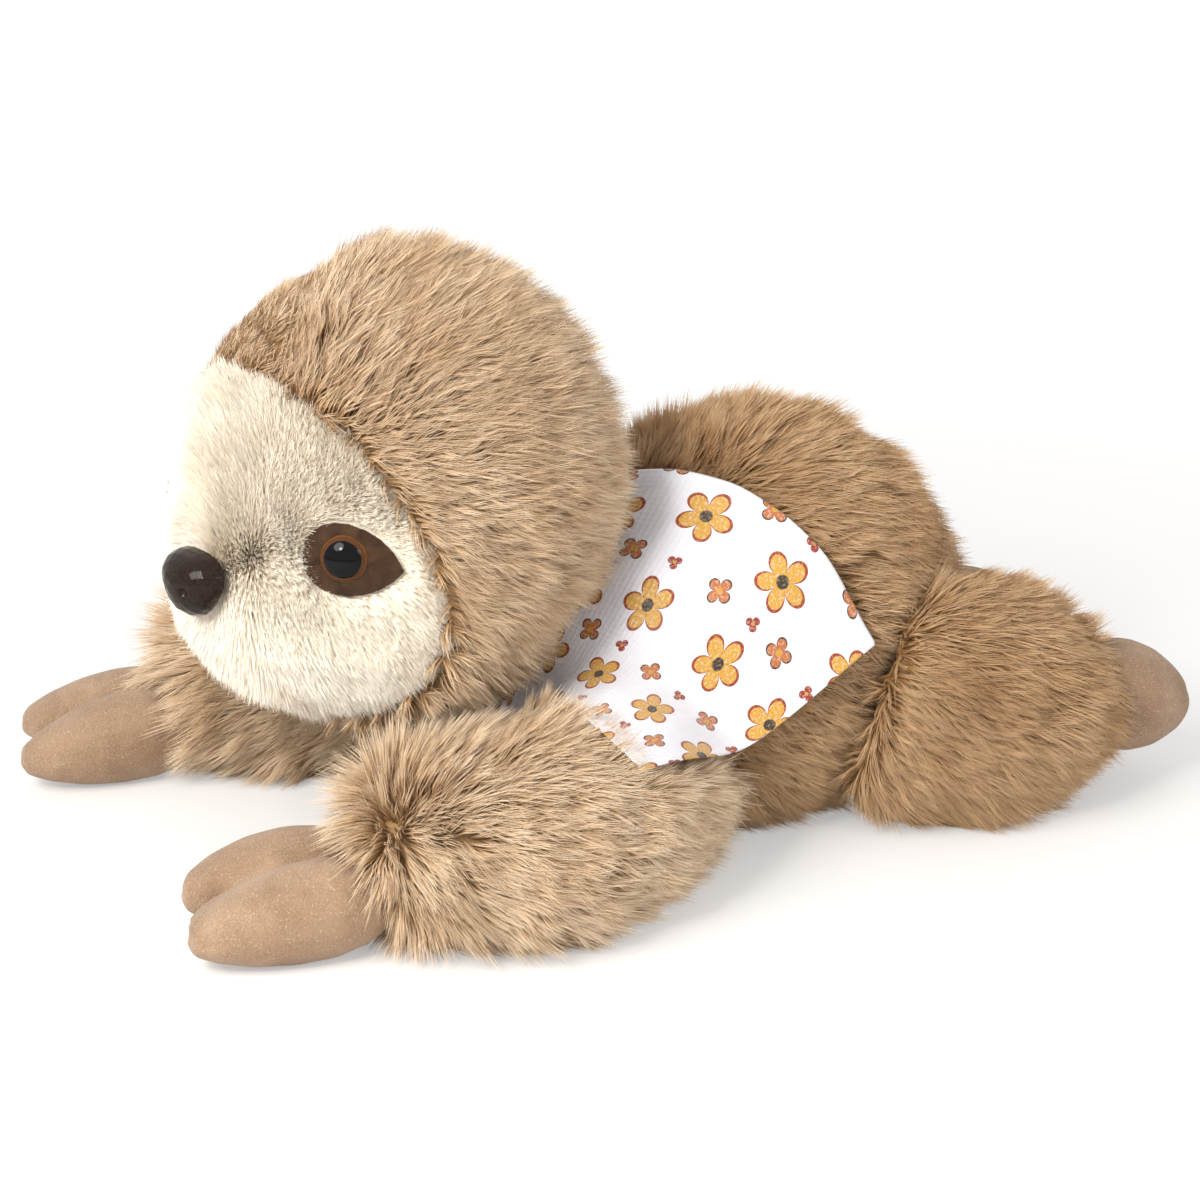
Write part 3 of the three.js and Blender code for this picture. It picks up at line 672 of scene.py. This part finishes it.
for side in ("left", "right"):
    middle, way = button_seat(f"eye_{side}", eye_rise)
    middle -= way * eye_pulled_in
    button = eye_button()
    turn = way.to_track_quat("Z", "Y").to_matrix().to_4x4()
    bmesh.ops.transform(button, matrix=Matrix.Translation(middle) @ turn, verts=button.verts)
    eye = object_of(f"eye_button_{side}", button, 50)
    finish_piece(eye, "head", eye_material(f"eye_{side}", middle, way))
    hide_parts(f"eye_{side}")

# Nose.
# A moulded button of near-black plastic, drawn out to a rounded triangle with two pits for nostrils. Its
# skin has a fine leather grain and a dull gloss.

nose_colours = ((0.01, 0.0055, 0.004), (0.024, 0.014, 0.01))

nose = remeshed("nose_button", cad_mesh("nose"), 0.0003, 5)
shade_smooth(nose)
nose_plastic = plastic_material("nose_plastic", nose_colours, 1500.0, 0.00008, Roughness=0.17,
                                Specular_IOR_Level=0.16)
finish_piece(nose, "head", nose_plastic)
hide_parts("nose")

# Torso cover.
# A barrel of long tan plush, sewn with the pile outside. Its backing cloth lies just inside the solid's
# surface, and the pile stands on it in locks that lean back and down. Under the scarf it is pressed flat.

plush_wall = 0.0045
pile_length = 0.0128
pile_root_depth = 0.003
pile_per_mm2 = 0.8
blade_width = 0.00046
lock_size = 0.0085
thinnest_wall = 0.0019
floor_reach = 0.0006
floor_pile = 0.12
floor_share = 0.15
outer_share = 0.3
skirt_height = 0.013
skirt_gain = 0.36
comb_back = Vector((0, 0.62, -0.3))
comb_outward = 2.0

root_colour = (0.42, 0.25, 0.11)
# One plush in lit and shaded copies: the body and legs get a darker tint and the head a slightly darker one
# as painted shade, and the arms a paler, cooler one as painted light.
body_painted_shade_tint = (0.75, 0.66, 0.55)
arm_painted_light_tint = (0.96, 1.0, 1.06)
head_painted_shade_tint = (0.87, 0.87, 0.88)
warm_pile = ((0.5, 0.3, 0.14), (0.66, 0.43, 0.23), (0.82, 0.6, 0.38))
pale_pile = ((0.6, 0.4, 0.22), (0.8, 0.61, 0.41), (0.93, 0.79, 0.6))


def make_lock(name, blades, length, width, spread, bend, steps):
    """A few fibres that stand together: narrow blades that taper and bend toward +X."""
    chance = random.Random(7)
    bm = bmesh.new()
    along = bm.verts.layers.float.new("along")
    across = bm.verts.layers.float.new("across")
    for i in range(blades):
        turn = math.pi * (i + chance.uniform(-0.3, 0.3)) / blades
        side = Vector((math.cos(turn), math.sin(turn), 0))
        out = Matrix.Rotation(chance.uniform(0, 2 * math.pi), 3, "Z") @ Vector((1, 0, 0))
        tall = length * chance.uniform(0.78, 1.08)
        drift = chance.uniform(0.6, 1.0)
        for v in bmesh.ops.create_grid(bm, x_segments=1, y_segments=steps, size=0.5)["verts"]:
            share = v.co.y + 0.5
            v[along] = share
            v[across] = v.co.x
            half = v.co.x * width * (1 - share ** 1.6)
            v.co = (
                side * half
                + out * spread * (0.5 + share * drift)
                + Vector((bend * tall * share ** 2, 0, tall * share))
            )
    bmesh.ops.remove_doubles(bm, verts=bm.verts, dist=1e-6)
    mesh = bpy.data.meshes.new(name)
    bm.to_mesh(mesh)
    bm.free()
    made = bpy.data.objects.new(name, mesh)
    bpy.context.scene.collection.objects.link(made)
    return made


def scaled(tree, vector, share):
    return put(tree, "ShaderNodeVectorMath", {0: vector, "Scale": share}, operation="SCALE").outputs[0]


def growth(name, lock, per_mm2, seed, cell, pull, stray):
    """Geometry nodes that plant locks of pile over a backing, combed along its "comb" attribute."""
    tree = bpy.data.node_groups.new(name, "GeometryNodeTree")
    tree.interface.new_socket("Geometry", in_out="INPUT", socket_type="NodeSocketGeometry")
    tree.interface.new_socket("Geometry", in_out="OUTPUT", socket_type="NodeSocketGeometry")
    backing = put(tree, "NodeGroupInput").outputs[0]

    def attribute(key, kind):
        return put(tree, "GeometryNodeInputNamedAttribute", {"Name": key}, data_type=kind).outputs[0]

    def chance(low, high, start):
        node = put(tree, "FunctionNodeRandomValue", {2: low, 3: high, 8: start}, data_type="FLOAT")
        return node.outputs[1]

    density = maths(tree, "MULTIPLY", attribute("thick", "FLOAT"), per_mm2 * 1e6)
    scatter = put(tree, "GeometryNodeDistributePointsOnFaces",
                  {"Mesh": backing, "Density": density, "Seed": seed}, distribute_method="RANDOM").outputs
    place = put(tree, "GeometryNodeInputPosition").outputs[0]
    comb = attribute("comb", "FLOAT_VECTOR")
    swirl = put(tree, "ShaderNodeTexNoise", {"Vector": place, "Scale": 62.0, "Detail": 2.0}).outputs["Color"]
    swirl = vectors(tree, "SUBTRACT", swirl, (0.5, 0.5, 0.5))
    centre = put(tree, "ShaderNodeTexVoronoi", {"Vector": place, "Scale": 1 / cell}).outputs["Position"]
    gather = vectors(tree, "SUBTRACT", centre, place)
    lean = vectors(tree, "ADD", comb, scaled(tree, swirl, stray))
    lean = vectors(tree, "ADD", lean, scaled(tree, gather, pull / cell))
    way = vectors(tree, "ADD", scatter["Normal"], lean)
    turn = put(tree, "FunctionNodeAlignRotationToVector", {"Vector": way}, axis="Z").outputs[0]
    turn = put(tree, "FunctionNodeAlignRotationToVector", {"Rotation": turn, "Vector": comb},
               axis="X", pivot_axis="Z").outputs[0]
    twist = put(tree, "ShaderNodeCombineXYZ", {"Z": chance(-0.9, 0.9, seed + 1)}).outputs[0]
    twist = put(tree, "FunctionNodeEulerToRotation", {0: twist}).outputs[0]
    turn = put(tree, "FunctionNodeRotateRotation", {0: turn, 1: twist}, rotation_space="LOCAL").outputs[0]
    tall = maths(tree, "MULTIPLY", attribute("pile", "FLOAT"), chance(0.72, 1.08, seed + 2))
    size = put(tree, "ShaderNodeCombineXYZ", {"X": 1.0, "Y": 1.0, "Z": tall}).outputs[0]
    lock_shape = put(tree, "GeometryNodeObjectInfo", {"Object": lock}).outputs["Geometry"]
    planted = put(tree, "GeometryNodeInstanceOnPoints", {
        "Points": scatter["Points"], "Instance": lock_shape, "Rotation": turn, "Scale": size,
    }).outputs[0]
    patchy = put(tree, "ShaderNodeTexNoise", {"Vector": place, "Scale": 70.0, "Detail": 3.0}).outputs[0]
    patchy = mapped(tree, patchy, 0.3, 0.7, 0.1, 0.9)
    tone = maths(tree, "ADD", maths(tree, "MULTIPLY", patchy, 0.7), chance(0.0, 0.28, seed + 3))
    toned = put(tree, "GeometryNodeStoreNamedAttribute",
                {"Geometry": planted, "Name": "tone", "Value": tone},
                data_type="FLOAT", domain="INSTANCE").outputs[0]
    fibres = put(tree, "GeometryNodeRealizeInstances", {0: toned}).outputs[0]
    across = maths(tree, "MULTIPLY", attribute("across", "FLOAT"), 0.03)
    fibre_tone = maths(tree, "ADD", attribute("tone", "FLOAT"), across)
    fibre_seat = {"X": fibre_tone, "Y": attribute("along", "FLOAT")}
    low = put(tree, "ShaderNodeTexNoise", {"Vector": place, "Scale": 180.0}).outputs[0]
    backing_seat = {"X": patchy, "Y": maths(tree, "MULTIPLY", low, 0.06)}
    both = put(tree, "GeometryNodeJoinGeometry")
    for geometry, seat in ((fibres, fibre_seat), (backing, backing_seat)):
        seat = put(tree, "ShaderNodeCombineXYZ", seat).outputs[0]
        seated = put(tree, "GeometryNodeStoreNamedAttribute",
                     {"Geometry": geometry, "Name": "OFBake", "Value": seat},
                     data_type="FLOAT2", domain="CORNER").outputs[0]
        tree.links.new(seated, both.inputs[0])
    put(tree, "NodeGroupOutput", {0: both.outputs[0]})
    return tree


def plush(name, node, fillings, wall, depth, voxel, length, tree, comb_at, length_at):
    """A sewn cover: the CAD cover sunk by the depth of the pile's roots, with the pile grown on it."""
    made = remeshed(name, cad_mesh(node), voxel, 4)
    inside = tree_of(fillings)
    around = tree_of([n for n in nodes if n != node and n not in fillings and not n.startswith("scarf")])
    mesh = made.data
    comb, pile, thick, sunk = [], [], [], []
    for v in mesh.vertices:
        at, normal = v.co.copy(), v.normal.copy()
        off_filling = inside.find_nearest(at)[3]
        outer = off_filling > outer_share * wall
        hit = around.ray_cast(at + normal * 1e-4, normal, length * 1.2)
        room = (hit[3] if hit[0] else length * 1.2) / length
        share = min(1.0, 0.4 + room) if outer else 0.0
        if outer:
            share *= length_at(at, normal)
        on_floor = at.z < floor_reach and normal.z < -0.7
        if not on_floor and normal.z < 0.4:
            share *= 1 + skirt_gain * max(0.0, 1 - at.z / skirt_height)
        pile.append(floor_pile if on_floor else share)
        thick.append(0.0 if not outer or room < 0.02 else (floor_share if on_floor else 1.0))
        way = comb_at(at, normal)
        comb.extend(way - normal * way.dot(normal))
        sink = min(depth, max(0.0, off_filling - thinnest_wall))
        sunk.extend(at - normal * sink if outer and not on_floor else at)
    mesh.vertices.foreach_set("co", sunk)
    mesh.attributes.new("comb", "FLOAT_VECTOR", "POINT").data.foreach_set("vector", comb)
    mesh.attributes.new("pile", "FLOAT", "POINT").data.foreach_set("value", pile)
    mesh.attributes.new("thick", "FLOAT", "POINT").data.foreach_set("value", thick)
    grow = made.modifiers.new("pile", "NODES")
    grow.node_group = tree
    apply_modifiers(made)
    settle_on_floor(made.data)
    return made


def settle_on_floor(mesh):
    """Lays flat whatever pile would pass through the floor."""
    place = np.empty(len(mesh.vertices) * 3, dtype=np.float32)
    mesh.vertices.foreach_get("co", place)
    place = place.reshape(-1, 3)
    low = place[:, 2] < floor_reach
    under = np.minimum(0, place[low, 2] - floor_reach)
    place[low, 2] = 0.0001 + 0.0005 * np.exp(under / 0.004)
    mesh.vertices.foreach_set("co", place.ravel())
    mesh.update()


def tinted(colours, tint):
    return [tuple(min(0.97, c * t) for c, t in zip(colour, tint)) for colour in colours]


def long_plush_material(name, tint):
    return pile_material(
        name, tinted(warm_pile, tint), tinted(pale_pile, tint), tinted([root_colour], tint)[0], 0.12
    )


def pile_material(name, warm, pale, root, sheen):
    """Fibres that are deeper between their roots and paler at their tips, in two tones from lock to lock."""
    made, tree = material_tree(name)
    spot = put(tree, "ShaderNodeUVMap", uv_map="OFBake").outputs[0]
    parts = put(tree, "ShaderNodeSeparateXYZ", {0: spot}).outputs
    ramps = [
        ramped(tree, parts["Y"], [(0.0, root), (0.16, root), (0.34, low), (0.62, middle), (1.0, tip)])
        for low, middle, tip in (warm, pale)
    ]
    shaded(tree, blended(tree, parts["X"], *ramps), None, 0, Roughness=0.5, Specular_IOR_Level=0.35,
           Sheen_Weight=sheen, Sheen_Roughness=0.4, Sheen_Tint=(1.0, 0.94, 0.85, 1))
    return made


pile_lock = make_lock("pile_lock", 5, pile_length, blade_width, 0.001, 0.34, 2)
long_growth = growth("long_pile_growth", pile_lock, pile_per_mm2, 3, lock_size, 0.3, 2.6)
# The body and legs wear the plush darkened as painted shade.
body_plush = long_plush_material("body_plush", body_painted_shade_tint)


def under_scarf(at, normal):
    """How long the pile is by the scarf: flat under it, filling any gap, and a little short beside it."""
    back = 0.001
    start = at - normal * back
    hits = [
        scarf_tree.ray_cast(start, normal, 0.016),
        scarf_tree.ray_cast(start, scarf_out, 0.02),
        band_tree.ray_cast(start, normal, 0.008),
    ]
    gaps = [hit[3] - back for hit in hits if hit[0]]
    if gaps:
        return max(0.14, 0.76 * (min(gaps) + pile_root_depth) / pile_length)
    near = min(scarf_tree.find_nearest(at)[3], band_tree.find_nearest(at)[3])
    return min(1.0, 0.6 + near / 0.008)


def down_the_back(at, normal):
    return comb_back + Vector((comb_outward * at.x, 0, 0))


torso = plush(
    "torso_plush", "torso_cover", ["torso_stuffing", "pellet_bag"], plush_wall, pile_root_depth, 0.0024,
    pile_length, long_growth, down_the_back, under_scarf,
)
finish_piece(torso, "torso", body_plush)
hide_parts("torso_cover")

# Arms and legs.
# Tubes of the same long plush with the pile combed toward the hand or foot, so that it falls over the
# seam of the velvety paw. Each is stuffed and swings a little on the seam that joins it to the torso.

limb_voxel = {"arm": 0.0017, "leg": 0.0022}
cuff_inset = 0.02
cuff_reach = 0.04
parting_near = 0.01
parting_far = 0.026
scarf_reach = 0.01
cuff_lean = 0.5
cuff_gain = {"arm_left": 0.6, "arm_right": 1.3, "leg_left": 0.0, "leg_right": 0.0}
toward_elbow = Vector((0.2, 0.75, -0.2))
beside_scarf = Vector((-0.1, 0.2, 0.45))


def limb_pile(body, paw, way):
    """The pile's comb and length: along the limb, longer and more upright at the cuff.

    Beside the scarf it stands up. The near arm's parts behind the cuff and lies back toward the elbow.
    """
    places = [v.co for v in nodes[paw].data.vertices]
    cuff = sum(places, Vector()) / len(places) - way.normalized() * cuff_inset

    def off_cuff(at):
        return min(1.0, (at - cuff).length / cuff_reach)

    def comb_at(at, normal):
        off_scarf = min(1.0, scarf_tree.find_nearest(at)[3] / scarf_reach)
        along = way * (cuff_lean + (1 - cuff_lean) * off_cuff(at) ** 2)
        if body == "arm_left":
            past = ((at - cuff).length - parting_near) / (parting_far - parting_near)
            along = along.lerp(toward_elbow, max(0.0, min(1.0, past)))
        return beside_scarf.lerp(along, off_scarf)

    def length_at(at, normal):
        return under_scarf(at, normal) * (1 + cuff_gain[body] * (1 - off_cuff(at)))

    return comb_at, length_at


# The arms wear the plush paled as painted light.
arm_plush = long_plush_material("arm_plush", arm_painted_light_tint)
for limb, side, way in limbs:
    paw = {"arm": "hand", "leg": "foot"}[limb]
    comb_at, length_at = limb_pile(f"{limb}_{side}", f"{paw}_cover_{side}", way)
    cover = plush(
        f"{limb}_plush_{side}", f"{limb}_cover_{side}", [f"{limb}_stuffing_{side}"], plush_wall,
        pile_root_depth, limb_voxel[limb], pile_length, long_growth, comb_at, length_at,
    )
    finish_piece(cover, f"{limb}_{side}", arm_plush if limb == "arm" else body_plush)
    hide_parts(f"{limb}_cover_{side}")

# Head hood.
# The long plush of the crown, cheeks and back of the head, sewn round the face. Its pile is combed away
# from the face and stands up over the crown.

face_way = Vector((math.sin(math.radians(17)), -math.cos(math.radians(17)), 0))
forehead_way = Vector((-0.5, -0.8, 0))
forehead_share = 0.34


def on_the_forehead(at):
    """From 0 over the crown and cheeks to 1 on the short-piled part between the face and the crown."""
    off = at - head_centre
    front = (forehead_way.dot(off) - 0.011) / 0.01
    high = off.z / 0.015
    return max(0.0, min(1.0, front)) * max(0.0, min(1.0, high))


def off_the_face(at, normal):
    out = at - (head_centre + face_way * 0.05)
    away = out.normalized() * 0.7 + Vector((0, 0, -0.12))
    return away.lerp(Vector((0.15, 0.9, 0.35)), on_the_forehead(at))


def hood_length(at, normal):
    behind = max(0.0, min(1.0, (at - head_centre).dot(Vector((0.3, 0.95, 0))) / 0.045))
    full = 0.88 + 0.24 * behind
    return full - (full - forehead_share) * on_the_forehead(at)


hood = plush(
    "hood_plush", "head_hood", ["head_stuffing"], plush_wall, pile_root_depth, 0.0022,
    pile_length, long_growth, off_the_face, hood_length,
)
# The head wears the plush slightly darkened as painted shade.
finish_piece(hood, "head", long_plush_material("head_plush", head_painted_shade_tint))
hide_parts("head_hood")

# Face panel.
# Cream plush with a short dense pile, sewn into the hood's opening. It is brushed away from the nose,
# parted beside the bridge and trimmed round the eyes and the nose.

face_pile_length = 0.007
face_per_mm2 = 3.6
face_blade_width = 0.00056
face_root = (0.95, 0.85, 0.7)
face_tones = ((0.94, 0.82, 0.65), (0.96, 0.87, 0.73), (0.97, 0.91, 0.8))
face_pale_tones = ((0.96, 0.86, 0.72), (0.97, 0.91, 0.81), (0.98, 0.95, 0.88))
bridge_half_width = 0.016
face_side = Vector((0, 0, 1)).cross(face_way)
nose_at = sum((v.co for v in nodes["nose"].data.vertices), Vector()) / len(nodes["nose"].data.vertices)
patch_tree = tree_of(["eye_patch_left", "eye_patch_right"])
button_tree = tree_of(["nose", "eye_left", "eye_right"])


def on_the_bridge(at):
    """From 1 on the line between the eyes to 0 beside them."""
    return max(0.0, 1 - abs((at - head_centre).dot(face_side)) / bridge_half_width)


def off_the_nose(at, normal):
    """Up the forehead, outward over the cheeks and down the chin."""
    out = at - nose_at
    out -= face_way * out.dot(face_way)
    below = min(1.0, max(0.0, (nose_at.z + 0.02 - at.z) / 0.02))
    return out.normalized() * (0.8 - 0.3 * on_the_bridge(at)) + Vector((0, 0, -0.35 * below))


def clear_of_trim(at, normal):
    """The pile is trimmed short round the eye patches, less so on the bridge's side, and round the nose."""
    off_patch = patch_tree.find_nearest(at)[3] - 0.0006
    off_button = button_tree.find_nearest(at)[3] - 0.001
    if off_patch < 0 or off_button < 0.0002:
        return 0.04
    bridge = min(1.0, 3 * on_the_bridge(at))
    by_patch = 0.5 + 0.75 * bridge + off_patch / 0.005
    by_button = 0.4 + off_button / 0.006
    return max(0.04, min(1 + 0.25 * bridge, by_patch, by_button))


face_lock = make_lock("face_lock", 4, face_pile_length, face_blade_width, 0.0008, 0.3, 1)
face_growth = growth("face_pile_growth", face_lock, face_per_mm2, 11, 0.0055, 0.08, 1.2)
short_plush = pile_material("short_plush", face_tones, face_pale_tones, face_root, 0.05)
face = plush(
    "face_plush", "face_panel", ["head_stuffing"], 0.002, 0.0006, 0.0011,
    face_pile_length, face_growth, off_the_nose, clear_of_trim,
)
finish_piece(face, "head", short_plush)
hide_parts("face_panel")

# Scarf, its cloth.
# Thin white satin with a fine weave and a printed scatter of flowers and buds. The rest of
# the kerchief is rolled into a band that goes round under the chin.

scarf_thickness = 0.0004
satin_white = (0.82, 0.815, 0.85)
satin_painted_shade = (0.73, 0.72, 0.78)
print_gold = (0.57, 0.3, 0.03)
print_red = (0.27, 0.03, 0.012)
print_orange = (0.46, 0.14, 0.03)
print_dark = (0.03, 0.022, 0.018)
flower_pitch = 0.027
flower_radius = 0.0082
bud_radius = 0.0042
flower_shift = 0.22
thread_pitch = 0.00028


def flower_group():
    """Flowers in a square repeat, each turned its own way: masks of petals, their outline and the eye."""
    tree, given, made = group_of(
        "printed_flower",
        [("Vector", "NodeSocketVector", (0, 0, 0)), ("Pitch", "NodeSocketFloat", 0.02),
         ("Radius", "NodeSocketFloat", 0.008), ("Petals", "NodeSocketFloat", 5.0)],
        [("Petal", "NodeSocketFloat"), ("Outline", "NodeSocketFloat"), ("Eye", "NodeSocketFloat")],
    )
    place, pitch, radius, petals = given.outputs[:4]
    cell = scaled(tree, place, maths(tree, "DIVIDE", 1.0, pitch))
    luck = put(tree, "ShaderNodeTexWhiteNoise", {0: vectors(tree, "FLOOR", cell)},
               noise_dimensions="2D").outputs
    shift = vectors(tree, "SUBTRACT", luck["Color"], (0.5, 0.5, 0.5))
    off = vectors(tree, "SUBTRACT", vectors(tree, "FRACTION", cell), (0.5, 0.5, 0))
    off = vectors(tree, "SUBTRACT", off, scaled(tree, shift, flower_shift))
    off = put(tree, "ShaderNodeSeparateXYZ", {0: off}).outputs
    across, up = (maths(tree, "MULTIPLY", off[i], off[i]) for i in (0, 1))
    reach = maths(tree, "MULTIPLY", maths(tree, "SQRT", maths(tree, "ADD", across, up)), pitch)
    reach = maths(tree, "DIVIDE", reach, radius)
    turn = maths(tree, "MULTIPLY", luck["Value"], 6.28)
    angle = maths(tree, "ADD", maths(tree, "ARCTAN2", off[1], off[0]), turn)
    wave = maths(tree, "COSINE", maths(tree, "MULTIPLY", angle, maths(tree, "MULTIPLY", petals, 0.5)))
    lobes = maths(tree, "POWER", maths(tree, "ABSOLUTE", wave), 0.6)
    edge = maths(tree, "ADD", 0.34, maths(tree, "MULTIPLY", lobes, 0.66))
    inside = maths(tree, "SUBTRACT", edge, reach)
    petal = mapped(tree, inside, 0.0, 0.02)
    outline = maths(tree, "SUBTRACT", petal, mapped(tree, inside, 0.11, 0.13))
    for i, found in enumerate((petal, outline, mapped(tree, reach, 0.24, 0.2))):
        tree.links.new(found, made.inputs[i])
    return tree


def satin_material(name, printed):
    made, tree = material_tree(name)
    at = object_place(tree)
    if printed:
        spread = put(tree, "ShaderNodeUVMap", uv_map="OFBake").outputs[0]
        at = vectors(tree, "MULTIPLY", spread, (*scarf_flat_size, 0))
    threads = [
        put(tree, "ShaderNodeTexWave", {"Vector": at, "Scale": 0.05 / thread_pitch},
            bands_direction=direction).outputs[1]
        for direction in ("X", "Y")
    ]
    # The cloud mixes lavender patches of painted shade into the white.
    cloud = put(tree, "ShaderNodeTexNoise", {"Vector": at, "Scale": 60.0, "Detail": 3.0}).outputs[0]
    colour = two_tone(tree, cloud, (satin_painted_shade, satin_white))
    if printed:
        grain = put(tree, "ShaderNodeTexNoise", {"Vector": at, "Scale": 1300.0, "Detail": 2.0}).outputs[0]
        grain = mapped(tree, grain, 0.38, 0.5, 0.72, 1.0)
        half = flower_pitch / 2
        layers = [
            (flower_radius, 5.0, (0, 0, 0), print_gold, print_red, print_dark),
            (bud_radius, 4.0, (half, half, 0), print_orange, print_dark, print_gold),
            (bud_radius * 0.55, 3.0, (half, 0, 0), print_red, print_red, print_gold),
        ]
        for radius, petals, shift, *inks in layers:
            flower = put(tree, "ShaderNodeGroup", {
                "Vector": vectors(tree, "ADD", at, shift),
                "Pitch": flower_pitch,
                "Radius": radius,
                "Petals": petals,
            }, node_tree=printed_flower).outputs
            for mask, ink in zip(("Petal", "Outline", "Eye"), inks):
                colour = blended(tree, maths(tree, "MULTIPLY", flower[mask], grain), colour, opaque(ink))
    shaded(tree, colour, maths(tree, "ADD", *threads), 0.00005, Roughness=0.42, Specular_IOR_Level=0.4,
           Sheen_Weight=0.2)
    return made


printed_flower = flower_group()
band = remeshed("scarf_band_satin", cad_mesh("scarf_band"), 0.0007, 6)
shade_smooth(band)
finish_piece(band, "torso", satin_material("plain_satin", False))
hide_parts("scarf_band")

flap = object_of("scarf_satin", scarf_bm, 180)
flap_finer = flap.modifiers.new("finer", "SUBSURF")
flap_finer.levels = 1
flap_finer.render_levels = 1
flap_wall = flap.modifiers.new("cloth", "SOLIDIFY")
flap_wall.thickness = scarf_thickness
flap_wall.offset = 1
apply_modifiers(flap)
finish_piece(flap, "torso", satin_material("printed_satin", True))
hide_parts("scarf_flap")

for helper in (pile_lock, face_lock):
    bpy.data.objects.remove(helper)
